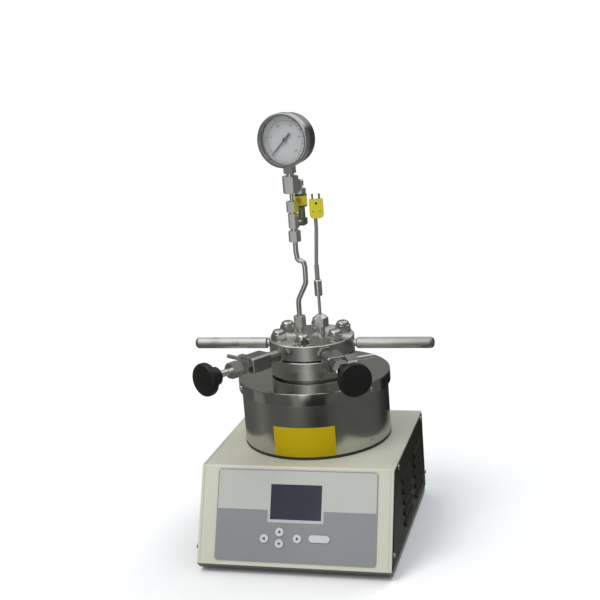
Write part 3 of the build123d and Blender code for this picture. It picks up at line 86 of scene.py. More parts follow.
# %% Camera
CAMERA_AT = Vector((342.9, -1260.7, 591.9)) * MM
YAW, PITCH, ROLL = 0.2736, 0.2324, 0.0773
ahead = Vector((-sin(YAW) * cos(PITCH), cos(YAW) * cos(PITCH), -sin(PITCH)))
level = Vector((cos(YAW), sin(YAW), 0))
upright = level.cross(ahead)
right = cos(ROLL) * level - sin(ROLL) * upright
top = cos(ROLL) * upright + sin(ROLL) * level
lens = bpy.data.cameras.new("camera")
lens.sensor_width = 36
lens.lens = 67.33
camera = bpy.data.objects.new("camera", lens)
axes = Matrix((right, top, -ahead)).transposed().to_4x4()
camera.matrix_world = Matrix.Translation(CAMERA_AT) @ axes
bpy.context.scene.collection.objects.link(camera)
bpy.context.scene.camera = camera
print("camera", round(CAMERA_AT.length, 2), "m from the reactor's foot")

# %% [markdown]
# ## Small tools
# A shader graph is a list of nodes and links. One helper adds a node, sets what is given as
# a number and links what is given as a socket, so a finish reads like a recipe. A second
# helper turns a bmesh into an object that rides on a body of the reactor.

# %% Shader and mesh helpers


def finish(name, colour, metallic=0.0, roughness=0.5, **more):
    """A material whose even values sit on the shader's own sockets."""
    mat = bpy.data.materials.new(name)
    mat.use_nodes = True
    shader = mat.node_tree.nodes["Principled BSDF"]
    shader.inputs["Base Color"].default_value = (*colour, 1)
    shader.inputs["Metallic"].default_value = metallic
    shader.inputs["Roughness"].default_value = roughness
    for socket, value in more.items():
        shader.inputs[socket.replace("_", " ")].default_value = value
    mat.diffuse_color = (*colour, 1)
    return mat


def add(mat, kind, inputs=None, out=0, **settings):
    """Add a node. Numbers are set and sockets are linked. Returns one output."""
    node = mat.node_tree.nodes.new("ShaderNode" + kind)
    for key, value in settings.items():
        setattr(node, key, value)
    for key, value in (inputs or {}).items():
        if isinstance(value, bpy.types.NodeSocket):
            mat.node_tree.links.new(value, node.inputs[key])
        else:
            node.inputs[key].default_value = value
    return node.outputs[out]


def feed(mat, socket, value):
    """Link a value into the material's shader."""
    mat.node_tree.links.new(value, mat.node_tree.nodes["Principled BSDF"].inputs[socket])


def coords(mat, at=None, stretch=(1, 1, 1)):
    """Object coordinates in metres, seen from a place and stretched along its axes."""
    here = add(mat, "TexCoord", out="Object")
    if at is not None:
        here = add(mat, "Mapping", {"Vector": here, "Location": at.to_translation(),
                                    "Rotation": at.to_euler()}, vector_type="TEXTURE")
    return add(mat, "Mapping", {"Vector": here, "Scale": stretch})


def calc(mat, operation, a, b=0.0):
    """One step of arithmetic on one or two values."""
    return add(mat, "Math", {0: a, 1: b}, operation=operation)


def noise(mat, where, scale, detail=2.0, roughness=0.5):
    """Soft random patches; a larger scale makes them smaller."""
    return add(mat, "TexNoise", {"Vector": where, "Scale": scale, "Detail": detail,
                                 "Roughness": roughness})


def span(mat, value, low, high, to_low=0.0, to_high=1.0):
    """Map a value from one range to another."""
    return add(mat, "MapRange", {"Value": value, "From Min": low, "From Max": high,
                                 "To Min": to_low, "To Max": to_high})


def mix(mat, share, first, second):
    """Blend two colours; each is a socket or three numbers."""
    given = {0: share}
    for key, value in ((6, first), (7, second)):
        given[key] = value if isinstance(value, bpy.types.NodeSocket) else (*value, 1)
    return add(mat, "Mix", given, out=2, data_type="RGBA")


def emboss(mat, height, strength, depth):
    """Turn a height into surface relief; depth is in metres."""
    bump = add(mat, "Bump", {"Strength": strength, "Distance": depth, "Height": height})
    feed(mat, "Normal", bump)


def dress(mat, *names):
    """Give a finish to solids that are already in the right shape."""
    for name in names:
        for slot in nodes[name].material_slots:
            slot.material = mat


def piece(name, mesh, mat, body="reactor", at=None):
    """Make an object of a bmesh, put its place in its mesh, and let it ride on a body."""
    if at is not None:
        mesh.transform(at)
    data = bpy.data.meshes.new(name)
    mesh.to_mesh(data)
    mesh.free()
    data.materials.append(mat)
    made = bpy.data.objects.new(name, data)
    bpy.context.scene.collection.objects.link(made)
    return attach(made, body)


print("shader helpers ready")

# %% [markdown]
# ## Small flat shapes
# Print, marks and a sunk screw are thin flat forms. A disc is a cone whose two ends are
# equal, a bar is a stretched cube, and a band is a small rectangle spun round an axis. Each
# is made flat at the origin, so that one matrix can put it on the reactor.

# %% Discs, bars and bands
PRINT_RISE = 0.1


def disc(radius, sides, at, turn=0.0, depth=PRINT_RISE):
    """A thin flat prism as a bmesh; three sides make a triangle. Millimetres."""
    mesh = bmesh.new()
    where = Matrix.Translation(Vector(at) * MM) @ Matrix.Rotation(turn, 4, "Z")
    bmesh.ops.create_cone(mesh, cap_ends=True, segments=sides, radius1=radius * MM,
                          radius2=radius * MM, depth=depth * MM, matrix=where)
    return mesh


def bar(mesh, x0, x1, y0, y1, z0, z1, turn=0.0):
    """Add a box between two corners, turned about z. Millimetres."""
    size = Matrix.Diagonal(((x1 - x0) * MM, (y1 - y0) * MM, (z1 - z0) * MM, 1))
    middle = Vector((x0 + x1, y0 + y1, z0 + z1)) * (MM / 2)
    where = Matrix.Rotation(turn, 4, "Z") @ Matrix.Translation(middle) @ size
    bmesh.ops.create_cube(mesh, size=1, matrix=where)


def band(mesh, inner, outer, z0, z1, start=0.0, sweep=2 * pi, steps=72):
    """Add a flat band: a small rectangle spun round z. A full turn is a closed ring."""
    corners = [mesh.verts.new(Vector((r, 0, z)) * MM) for r, z in
               ((inner, z0), (outer, z0), (outer, z1), (inner, z1))]
    bmesh.ops.rotate(mesh, verts=corners, cent=(0, 0, 0), matrix=Matrix.Rotation(start, 3, "Z"))
    whole = sweep >= 2 * pi
    edges = [mesh.edges.new(pair) for pair in zip(corners, corners[1:] + corners[:1])]
    caps = [] if whole else [mesh.faces.new(corners)]
    bmesh.ops.spin(mesh, geom=[*caps, *edges, *corners], cent=(0, 0, 0), axis=(0, 0, 1),
                   angle=sweep, steps=steps, use_merge=whole)
    bmesh.ops.recalc_face_normals(mesh, faces=mesh.faces)


print("shape helpers ready")

# %% [markdown]
# ## Stainless steel
# The vessel and its head are turned on a lathe, and the tool leaves fine rings round the
# axis. Noise that reads only the distance from the axis and the height draws such rings on
# the side and on the top alike. The rings change the roughness a little and lift the
# surface by microns. They also stretch a reflection across themselves, so the shader's
# Anisotropic value is high and its tangent runs round the axis.

# %% Turned and machined steel
SMUDGE_SCALE = 60


def smudges(mat, low, high):
    """Handling marks: the roughness wanders between two values over the part."""
    wander = noise(mat, coords(mat), SMUDGE_SCALE, 3)
    return span(mat, wander, 0.35, 0.65, low, high)


def tones(colour, darker, lighter):
    """A darker and a lighter version of one colour."""
    return [c * darker for c in colour], [min(1, c * lighter) for c in colour]


def round_grain(mat, axis="Z"):
    """Let the grain run round an axis, so that reflections smear along the axis."""
    feed(mat, "Tangent", add(mat, "Tangent", direction_type="RADIAL", axis=axis))


def turned_steel(name, colour, rings, low, high, along=(0, 0, 1), facing=0.0):
    """Steel with lathe rings about an axis through the origin; faced ends are rougher."""
    mat = finish(name, colour, 1, high, Anisotropic=0.93)
    round_grain(mat, "Z" if along[2] else "X")
    here = add(mat, "TexCoord", out="Object")
    length = add(mat, "VectorMath", {0: here, 1: along}, out="Value", operation="DOT_PRODUCT")
    foot = add(mat, "VectorMath", {0: along, 3: length}, operation="SCALE")
    across = add(mat, "VectorMath", {0: here, 1: foot}, operation="SUBTRACT")
    radius = add(mat, "VectorMath", {0: across}, out="Value", operation="LENGTH")
    path = add(mat, "CombineXYZ", {"X": radius, "Y": length})
    ring = noise(mat, path, rings, 3, 0.7)
    rough = calc(mat, "ADD", smudges(mat, low, high), span(mat, ring, 0.3, 0.7, -0.03, 0.03))
    outward = add(mat, "NewGeometry", out="Normal")
    end_on = add(mat, "VectorMath", {0: outward, 1: along}, out="Value", operation="DOT_PRODUCT")
    faced = span(mat, calc(mat, "ABSOLUTE", end_on), 0.8, 0.95, 0, facing)
    feed(mat, "Roughness", calc(mat, "ADD", rough, faced))
    feed(mat, "Base Color", mix(mat, ring, *tones(colour, 0.9, 1.08)))
    emboss(mat, ring, 0.25, 0.00002)
    return mat


def plain_steel(name, colour, low, high, grain=1400, depth=0.00002):
    """Steel off a mill or a forge, with a fine even grain."""
    mat = finish(name, colour, 1, high)
    grit = noise(mat, coords(mat), grain, 4, 0.65)
    feed(mat, "Roughness", smudges(mat, low, high))
    feed(mat, "Base Color", mix(mat, grit, *tones(colour, 0.88, 1.08)))
    emboss(mat, grit, 0.3, depth)
    return mat


head_steel = turned_steel("turned_head_steel", (0.6, 0.597, 0.565), 1800, 0.2, 0.26, facing=0.14)
lever_steel = turned_steel("turned_bar_steel", (0.42, 0.415, 0.395), 1500, 0.26, 0.36, (1, 0, 0))
fitting_steel = plain_steel("fitting_steel", (0.72, 0.715, 0.69), 0.16, 0.26)
nut_steel = plain_steel("polished_nut_steel", (0.6, 0.6, 0.57), 0.16, 0.26, 900, 0.00001)
packing_steel = plain_steel("bright_packing_nut_steel", (0.8, 0.8, 0.77), 0.08, 0.16, 900, 0.00001)
valve_steel = plain_steel("forged_valve_steel", (0.36, 0.36, 0.335), 0.22, 0.36, 1100, 0.00004)
tube_steel = plain_steel("drawn_tube_steel", (0.72, 0.72, 0.7), 0.12, 0.2)
bezel_steel = plain_steel("polished_bezel_steel", (0.6, 0.6, 0.59), 0.03, 0.08, 700, 0.000006)
case_steel = plain_steel("gauge_case_steel", (0.17, 0.17, 0.165), 0.2, 0.3, 900, 0.00001)
screw_steel = plain_steel("bright_screw_steel", (0.75, 0.75, 0.73), 0.12, 0.22, 900, 0.00001)
dress(head_steel, "vessel_head", "vessel_cup")
dress(lever_steel, "side_levers")
dress(fitting_steel, "head_fittings", "tube_nuts", "gauge_tee", "gauge_adapter", "gauge_movement",
      "relief_valve_cap", "head_studs", "thermocouple_probe")
dress(nut_steel, "acorn_nuts", "head_washers")
dress(packing_steel, "valve_packing_nuts")
dress(valve_steel, "valve_bodies", "relief_valve_body")
dress(tube_steel, "gauge_tube", "valve_outlet_tubes", "left_stem", "right_stem")
dress(bezel_steel, "gauge_bezel")
dress(case_steel, "gauge_case")
dress(screw_steel, "housing_screws", "plug_pins")
print(len(bpy.data.materials), "materials so far")

# %% [markdown]
# ## Drum sheet
# The drum is polished sheet, almost a mirror. Rolling leaves long faint streaks round it,
# and years of wiping leave soft cloudy patches. The lid is flatter and brighter, so the
# vessel's flange shows in it.

# %% Polished sheet


def sheet_steel(name, low, high, streak_depth, grain):
    mat = finish(name, (0.56, 0.555, 0.52), 1, high, Anisotropic=grain)
    round_grain(mat)
    streak = noise(mat, coords(mat, stretch=(12, 12, 900)), 1, 4, 0.6)
    cloud = noise(mat, coords(mat), 22, 3)
    soft = span(mat, cloud, 0.35, 0.7, low, high)
    feed(mat, "Roughness", calc(mat, "ADD", soft, span(mat, streak, 0.3, 0.7, -0.015, 0.02)))
    feed(mat, "Base Color", mix(mat, cloud, (0.5, 0.497, 0.455), (0.6, 0.597, 0.55)))
    emboss(mat, streak, 0.2, streak_depth)
    return mat


dress(sheet_steel("drum_side_sheet", 0.2, 0.27, 0.00002, 0.93), "drum_shell")
dress(sheet_steel("drum_lid_sheet", 0.05, 0.1, 0.000002, 0.3), "drum_cover")
print("drum and lid polished")

# %% [markdown]
# ## Paint, film and plastics
# Powder paint has a fine orange-peel skin. Moulded plastic has a smoother one, with a spark
# texture that is finer still. Both are noise in relief, at their own scale.

# %% Painted and moulded finishes


WANDER = 0.06


def skin(name, colour, roughness, grain, depth, drift=0.06, **more):
    """An even colour with a fine skin, and a slow drift of tone over the part."""
    mat = finish(name, colour, 0, roughness, **more)
    drifting = noise(mat, coords(mat), 14, 3)
    fine = noise(mat, coords(mat), grain, 2)
    feed(mat, "Base Color", mix(mat, drifting, *tones(colour, 1 - drift, 1 + drift)))
    feed(mat, "Roughness", span(mat, fine, 0.3, 0.7, roughness - WANDER, roughness + WANDER))
    emboss(mat, fine, 0.35, depth)
    return mat


dress(skin("cream_powder_paint", (0.52, 0.523, 0.425), 0.42, 1100, 0.00006, 0.03), "cabinet_cover")
dress(skin("dark_powder_paint", (0.021, 0.021, 0.012), 0.6, 900, 0.00008, Specular_IOR_Level=0.15),
      "left_side_panel", "right_side_panel")
dress(skin("grey_sheet_paint", (0.085, 0.086, 0.075), 0.45, 800, 0.00006), "base_tray")
dress(skin("black_sheet_paint", (0.02, 0.02, 0.018), 0.5, 800, 0.00006), "drum_base")
dress(skin("black_rubber", (0.02, 0.02, 0.02), 0.75, 700, 0.0001), "rubber_feet")
dress(skin("black_plastic", (0.012, 0.012, 0.012), 0.38, 1500, 0.00004),
      "power_inlet", "rocker_switch", "sensor_socket")
dress(skin("knob_black", (0.009, 0.0095, 0.008), 0.4, 1300, 0.00005, Specular_IOR_Level=0.3),
      "left_knob", "right_knob")
dress(skin("yellow_plug_plastic", (0.56, 0.49, 0.02), 0.36, 1400, 0.00004, Specular_IOR_Level=0.3),
      "thermocouple_plug")
dress(skin("key_cap_plastic", (0.5, 0.52, 0.54), 0.35, 1600, 0.00003),
      "key_left", "key_up", "key_down", "key_right", "key_wide")
dress(skin("seal_white", (0.8, 0.8, 0.77), 0.5, 900, 0.00003), "vessel_gasket")
dress(skin("pointer_black_paint", (0.012, 0.012, 0.013), 0.45, 1500, 0.00002), "gauge_pointer")
dress(skin("dial_white_paint", (0.42, 0.425, 0.43), 0.5, 1500, 0.00001, 0.02), "gauge_dial")
dress(skin("circuit_board_green", (0.03, 0.13, 0.06), 0.4, 500, 0.00008, 0.2),
      "control_board", "power_board")
dress(skin("fibre_lining", (0.62, 0.58, 0.5), 0.9, 260, 0.0004, 0.1), "drum_insulation")
dress(plain_steel("motor_can_steel", (0.4, 0.4, 0.4), 0.3, 0.45), "stirrer_motor", "band_heater")
dress(plain_steel("turned_aluminium", (0.7, 0.7, 0.72), 0.25, 0.4), "heater_collar", "magnet_rotor")
dress(plain_steel("plated_magnet", (0.7, 0.7, 0.68), 0.1, 0.2), "rotor_magnets")
dress(skin("stirrer_white", (0.85, 0.85, 0.82), 0.3, 900, 0.00002), "stir_bar")
print("paint and plastics done")

# %% [markdown]
# ## Panel film
# The front film is printed in two greys. The light one fills the upper half and runs down
# round the display as a frame. The colours are fields on the film, so the shader compares
# the place on the panel with the edges of each field. A darker grey along the film's top and
# side edges is painted shade at the film's edge. The display in its window is dark glass
# with a faint haze.

# %% Two greys on the front film
LIGHT_FOOT, FRAME_FOOT, FRAME_HALF_WIDTH = 49.3, 63.0, 32.7
EDGE_TOP, EDGE_HALF_WIDTH = 5.2, 92.8
film = finish("front_film", (0.45, 0.46, 0.44), 0, 0.38)
on_film = coords(film, PANEL)
film_x = add(film, "SeparateXYZ", {0: on_film}, out="X")
film_y = add(film, "SeparateXYZ", {0: on_film}, out="Y")
beside = calc(film, "ABSOLUTE", film_x)
upper = calc(film, "GREATER_THAN", film_y, -LIGHT_FOOT * MM)
near_display = calc(film, "LESS_THAN", beside, FRAME_HALF_WIDTH * MM)
above_frame_foot = calc(film, "GREATER_THAN", film_y, -FRAME_FOOT * MM)
frame_field = calc(film, "MULTIPLY", near_display, above_frame_foot)
light_field = calc(film, "MAXIMUM", upper, frame_field)
# Along the film's top and side edges the grey is darker: painted shade at the film's edge.
shaded_side_edge = calc(film, "GREATER_THAN", beside, EDGE_HALF_WIDTH * MM)
shaded_top_edge = calc(film, "GREATER_THAN", film_y, -EDGE_TOP * MM)
painted_edge_shade = calc(film, "MAXIMUM", shaded_side_edge, shaded_top_edge)
grain = noise(film, coords(film), 1500, 2)
fade = noise(film, coords(film), 9, 2)
light_grey = mix(film, fade, (0.39, 0.4, 0.37), (0.46, 0.47, 0.44))
dark_grey = mix(film, fade, (0.19, 0.2, 0.205), (0.24, 0.25, 0.255))
print_colour = mix(film, light_field, dark_grey, light_grey)
# The third colour, (0.24, 0.245, 0.23), is the painted shade along the film's edges.
feed(film, "Base Color", mix(film, painted_edge_shade, print_colour, (0.24, 0.245, 0.23)))
feed(film, "Roughness", span(film, grain, 0.3, 0.7, 0.32, 0.44))
emboss(film, grain, 0.2, 0.00002)
dress(film, "front_overlay")

display = finish("display_glass", (0.035, 0.04, 0.06), 0, 0.12)
haze = noise(display, coords(display), 30, 2)
feed(display, "Base Color", mix(display, haze, (0.018, 0.021, 0.034), (0.028, 0.032, 0.048)))
feed(display, "Roughness", span(display, haze, 0.3, 0.7, 0.08, 0.2))
dress(display, "display_module")
print("the light field ends", LIGHT_FOOT, "mm below the panel's upper edge")

# %% [markdown]
# ## Marks on the keys and the switch
# Each arrow key has a small dark triangle. The power switch has a bar for on and a ring for
# off. A mark is thin print, so it is a flat disc or triangle a tenth of a millimetre thick,
# and it rides on its own key or on the rocker, so that it moves with it.

# %% Key and switch marks
KEY_INK = finish("key_print", (0.03, 0.032, 0.04), 0, 0.5)
WHITE_INK = finish("switch_print", (0.75, 0.75, 0.73), 0, 0.45)
for ink in (KEY_INK, WHITE_INK):
    speck = noise(ink, coords(ink), 1500, 2)
    feed(ink, "Roughness", span(ink, speck, 0.3, 0.7, 0.42, 0.56))
KEY_TOP, ARROW_R = 2.0, 2.3
# Across and down the panel, and the way that the arrow points, in degrees.
ARROW_KEYS = {"key_left": (-35.6, 81.4, 180), "key_up": (-17.7, 73.6, 90),
              "key_down": (-17.7, 86.4, -90), "key_right": (3.2, 80.4, 0)}
for key, (across, down, points_to) in ARROW_KEYS.items():
    # A cone's first corner lies on +Y, so the triangle is turned back a quarter turn.
    arrow = disc(ARROW_R, 3, (across, -down, KEY_TOP), radians(points_to - 90))
    piece(key + "_arrow", arrow, KEY_INK, key + "_cap", PANEL)
print(len(ARROW_KEYS), "arrow keys marked")

# The rocker's face is a shallow V, and at rest the rocker is tilted about its pin.
ROCKER_PIN, REST_TILT = Vector((66, 67, 0)), radians(-10)
ROCKER = REAR @ Matrix.Translation(ROCKER_PIN * MM) @ Matrix.Rotation(REST_TILT, 4, "X")
SLOPE, SLOPE_MIDDLE, SLOPE_RISE = radians(11.3), 3.0, 1.6
BAR_HALF_WIDTH, BAR_HALF_HEIGHT = 0.25, 1.3
RING_INNER, RING_OUTER = 0.95, 1.4
for side, name in ((1, "on"), (-1, "off")):
    on_slope = ROCKER @ Matrix.Translation(Vector((0, side * SLOPE_MIDDLE, SLOPE_RISE)) * MM)
    on_slope = on_slope @ Matrix.Rotation(side * SLOPE, 4, "X")
    mark = bmesh.new()
    if name == "on":
        bar(mark, -BAR_HALF_WIDTH, BAR_HALF_WIDTH, -BAR_HALF_HEIGHT, BAR_HALF_HEIGHT, 0, PRINT_RISE)
    else:
        band(mark, RING_INNER, RING_OUTER, 0, PRINT_RISE, steps=24)
    piece(f"rocker_{name}_mark", mark, WHITE_INK, "rocker", on_slope)
print("switch marked with a bar and a ring")

# %% [markdown]
# ## Sensor plug
# The flat plug is held together by one sunk screw, and two blind holes are moulded below it.
# The screw sits inside the hole that the solid already has. A blind hole this small is read
# by its shade alone, so it is a dark disc laid flush with the plastic.

# %% Screw and blind holes of the plug
PLUG_TURN, PLUG_HALF_THICKNESS = radians(14), 4.3
SCREW_R, SCREW_UP, SCREW_DEPTH = 1.3, 17.7, 0.6
HOLE_R, HOLE_UP, HOLE_ASIDE, HOLE_DEPTH = 0.75, 8.2, 4.1, 0.06
plug_face = middle_of("thermocouple_plug")
plug_face.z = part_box("thermocouple_plug")[0].z / MM
plug_face += PLUG_HALF_THICKNESS * Vector((sin(PLUG_TURN), -cos(PLUG_TURN), 0))
PLUG_FACE = place(plug_face, (cos(PLUG_TURN), sin(PLUG_TURN), 0), (0, 0, 1))
# This dark steel is the sunk screw's own finish, and on the two discs below it is painted hole
# shade.
dark_screw_and_hole_shade = plain_steel("blackened_screw_steel_and_hole_shade", (0.05, 0.045, 0.035), 0.3, 0.5, 900, 0.00001)
screw = disc(SCREW_R, 16, (0, SCREW_UP, -SCREW_DEPTH), depth=SCREW_DEPTH)
piece("plug_screw", screw, dark_screw_and_hole_shade, at=PLUG_FACE)
# Each blind hole is a flat dark disc: painted shade that stands for the hole.
for side, name in ((-1, "left"), (1, "right")):
    hole = disc(HOLE_R, 12, (side * HOLE_ASIDE, HOLE_UP, 0), depth=HOLE_DEPTH)
    piece(f"plug_blind_hole_shade_{name}", hole, dark_screw_and_hole_shade, at=PLUG_FACE)
print("plug has its screw and two blind holes")

# %% [markdown]
# ## Relief valve sleeve and sensor lead
# The sleeve is yellow and darkens at its rounded ends, with a worn orange spot in front.
# The sensor's lead is a metal braid, two sets of fine wires that cross.

# %% Sleeve and lead
SLEEVE_YELLOW, WORN_ORANGE, DARK_END = (0.62, 0.55, 0.02), (0.5, 0.22, 0.02), (0.06, 0.045, 0.02)
sleeve = finish("yellow_sleeve", SLEEVE_YELLOW, 0, 0.4)
sleeve_low, sleeve_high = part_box("relief_valve_sleeve")
sleeve_middle = (sleeve_low + sleeve_high) / 2
at_sleeve = add(sleeve, "Mapping", {"Vector": add(sleeve, "TexCoord", out="Object"),
                                    "Location": sleeve_middle}, vector_type="TEXTURE")
sleeve_z = calc(sleeve, "ABSOLUTE", add(sleeve, "SeparateXYZ", {0: at_sleeve}, out="Z"))
half_sleeve = (sleeve_high.z - sleeve_low.z) / 2
dark_end = span(sleeve, sleeve_z, half_sleeve - 2.6 * MM, half_sleeve - 1.6 * MM)
spot_at = Vector((-0.1, -7.4, 0)) * MM
spot = add(sleeve, "VectorMath", {0: at_sleeve, 1: spot_at}, out="Value", operation="DISTANCE")
ragged = noise(sleeve, coords(sleeve), 500, 3)
ragged_edge = span(sleeve, ragged, 0.3, 0.7, -1.2 * MM, 1.2 * MM)
worn_spot = span(sleeve, calc(sleeve, "ADD", spot, ragged_edge), 2.6 * MM, 3.6 * MM, 1, 0)
body_colour = mix(sleeve, worn_spot, SLEEVE_YELLOW, WORN_ORANGE)
feed(sleeve, "Base Color", mix(sleeve, dark_end, body_colour, DARK_END))
feed(sleeve, "Roughness", span(sleeve, ragged, 0.3, 0.7, 0.3, 0.46))
emboss(sleeve, ragged, 0.3, 0.00003)
dress(sleeve, "relief_valve_sleeve")

lead = finish("braided_lead", (0.3, 0.3, 0.295), 0.6, 0.45)
WIRES = 320
strands = [add(lead, "TexWave", {"Vector": coords(lead, stretch=(side, 1, 1)), "Scale": WIRES,
                                 "Distortion": 0.4}, bands_direction="DIAGONAL")
           for side in (1, -1)]
braid = calc(lead, "MAXIMUM", *[add(lead, "SeparateColor", {0: s}, out=0) for s in strands])
feed(lead, "Base Color", mix(lead, braid, (0.17, 0.17, 0.17), (0.36, 0.36, 0.355)))
emboss(lead, braid, 0.5, 0.00012)
dress(lead, "thermocouple_lead")
print("sleeve is", round(2 * half_sleeve / MM, 1), "mm tall")

# %% [markdown]
# ## Gauge glass
# The dial has to be seen through the glass, so the glass is thin and mostly clear: a low
# alpha with a smooth surface keeps the glint and lets light reach the dial.

# %% Gauge glass
glass = finish("gauge_glass", (0.85, 0.9, 0.88), 0, 0.03, Alpha=0.06, IOR=1.5)
wipe = noise(glass, coords(glass), 45, 2)
feed(glass, "Roughness", span(glass, wipe, 0.3, 0.7, 0.02, 0.08))
dress(glass, "gauge_lens")
print("glass is on the gauge")

# %% [markdown]
# ## Gauge print
# A dial is printed with a scale arc, ticks and plain numbers. Each tick is a thin bar, made
# once and turned round the dial. Three quarters of a turn hold the scale, with zero at the
# lower left.

# %% Scale of the gauge
INK = skin("dial_ink", (0.012, 0.012, 0.014), 0.5, 1500, 0.00001)
DIAL_FACE, INK_RISE = 6.0, 0.08
ZERO, SWEEP = radians(225), radians(270)
MAJORS, MINORS = 5, 5
SCALE_R, ARC_WIDTH = 22.2, 0.35
LONG_TICK, SHORT_TICK = (3.4, 0.3), (2.0, 0.14)  # length and half width
NUMBER_R, NUMBER_SIZE = 18.0, 4.2
scale_mesh = bmesh.new()
for step in range(MAJORS * MINORS + 1):
    turn = ZERO - SWEEP * step / (MAJORS * MINORS)
    length, half = LONG_TICK if step % MINORS == 0 else SHORT_TICK
    bar(scale_mesh, SCALE_R, SCALE_R + length, -half, half, DIAL_FACE, DIAL_FACE + INK_RISE, turn)
band(scale_mesh, SCALE_R - ARC_WIDTH, SCALE_R, DIAL_FACE, DIAL_FACE + INK_RISE, ZERO - SWEEP, SWEEP)
piece("dial_scale", scale_mesh, INK, at=GAUGE)


def numeral(name, text, x, y):
    """A plain number as thin raised ink, centred on a place on the dial."""
    words = bpy.data.curves.new(name, "FONT")
    words.body = text
    words.size = NUMBER_SIZE * MM
    words.align_x = words.align_y = "CENTER"
    words.extrude = INK_RISE * MM / 2
    words.resolution_u = 3
    typed = bpy.data.objects.new(name + "_typed", words)
    shape = bpy.data.meshes.new_from_object(typed)
    bpy.data.objects.remove(typed)
    mesh = bmesh.new()
    mesh.from_mesh(shape)
    on_dial = Vector((x, y, DIAL_FACE + INK_RISE / 2)) * MM
    bmesh.ops.translate(mesh, verts=mesh.verts, vec=on_dial)
    return piece(name, mesh, INK, at=GAUGE)


for step in range(MAJORS + 1):
    turn = ZERO - SWEEP * step / MAJORS
    numeral(f"dial_number_{step}", str(5 * step), NUMBER_R * cos(turn), NUMBER_R * sin(turn))
print("dial has", MAJORS * MINORS + 1, "ticks")

# %% [markdown]
# ## Drum label
# A yellow label is stuck to the front of the drum. It has no words. A strip on a drum is an
# upright edge spun round the drum's axis, and Solidify gives it the thickness of vinyl.

# %% Yellow label
LABEL = skin("yellow_vinyl", (0.43, 0.31, 0.0003), 0.5, 1200, 0.00002, 0.05,
             Specular_IOR_Level=0.08)
DRUM_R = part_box("drum_shell")[1].x / MM
LABEL_GAP, VINYL = 0.1, 0.15
LABEL_FROM, LABEL_TO = radians(-110.6), radians(-62.6)
LABEL_FOOT, LABEL_TOP = 116.6, 152.2
label_mesh = bmesh.new()
start_x, start_y = (DRUM_R + LABEL_GAP) * cos(LABEL_FROM), (DRUM_R + LABEL_GAP) * sin(LABEL_FROM)
ends = [label_mesh.verts.new(Vector((start_x, start_y, z)) * MM) for z in (LABEL_FOOT, LABEL_TOP)]
edge = label_mesh.edges.new(ends)
bmesh.ops.spin(label_mesh, geom=[edge, *ends], cent=(0, 0, 0), axis=(0, 0, 1),
               angle=LABEL_TO - LABEL_FROM, steps=32)
bmesh.ops.recalc_face_normals(label_mesh, faces=label_mesh.faces)
bmesh.ops.solidify(label_mesh, geom=label_mesh.faces, thickness=VINYL * MM)
bmesh.ops.recalc_face_normals(label_mesh, faces=label_mesh.faces)
piece("drum_label", label_mesh, LABEL)
print("label covers", round(DRUM_R * (LABEL_TO - LABEL_FROM)), "mm of the drum")

# %% [markdown]
# ## Floor and backdrop
# The floor is pale and curves up all round, so it is its own backdrop. Near the reactor it is
# paint that takes a shadow. Further out it blends to plain white, so no horizon shows.

# %% Floor
ROUND_STEPS = 96
PAINT_ENDS, WHITE_STARTS = 0.18, 0.75


def spun(name, profile, mat):
    """A stage surface: a profile of (radius, height) in metres, spun round."""
    mesh = bmesh.new()
    points = [mesh.verts.new((r, 0, z)) for r, z in profile]
    edges = [mesh.edges.new(pair) for pair in zip(points, points[1:])]
    bmesh.ops.spin(mesh, geom=[*points, *edges], cent=(0, 0, 0), axis=(0, 0, 1), angle=2 * pi,
                   steps=ROUND_STEPS, use_merge=True)
    bmesh.ops.remove_doubles(mesh, verts=mesh.verts, dist=1e-6)
    data = bpy.data.meshes.new(name)
    mesh.to_mesh(data)
    mesh.free()
    for face in data.polygons:
        face.use_smooth = True
    data.materials.append(mat)
    made = bpy.data.objects.new(name, data)
    bpy.context.scene.collection.objects.link(made)
    return made


floor_paint = finish("pale_floor", (0.9, 0.9, 0.9), 0, 0.9)
from_middle = add(floor_paint, "VectorMath", {0: coords(floor_paint)}, out="Value",
                  operation="LENGTH")
rays = [add(floor_paint, "LightPath", out=kind) for kind in
        ("Is Camera Ray", "Is Glossy Ray", "Is Transmission Ray")]
seen = calc(floor_paint, "MAXIMUM", rays[0], calc(floor_paint, "MAXIMUM", rays[1], rays[2]))
far = span(floor_paint, from_middle, PAINT_ENDS, WHITE_STARTS)
white_share = calc(floor_paint, "MULTIPLY", seen, far)
white = add(floor_paint, "Emission", {"Color": (1, 1, 1, 1), "Strength": 1.0})
lit = floor_paint.node_tree.nodes["Principled BSDF"].outputs[0]
blend = add(floor_paint, "MixShader", {0: white_share, 1: lit, 2: white})
surface = floor_paint.node_tree.nodes["Material Output"].inputs["Surface"]
floor_paint.node_tree.links.new(blend, surface)
spun("floor", [(0, 0), (3.0, 0), (3.5, 0.08), (3.8, 0.3), (3.95, 0.7), (4.0, 1.6)], floor_paint)
print("floor is white from", WHITE_STARTS, "m outwards")

# %% [markdown]
# ## Reflection tent
# Steel has no colour of its own and shows what stands round it. In an empty white room it
# would look flat, so a tent that only reflections see is put round the reactor. It has a low
# and a high wall, each of one grey with a few boards and strips, and a pale roof. A colour
# ramp that runs round the upright axis draws the boards, so they need no mesh.

# %% Reflection tent


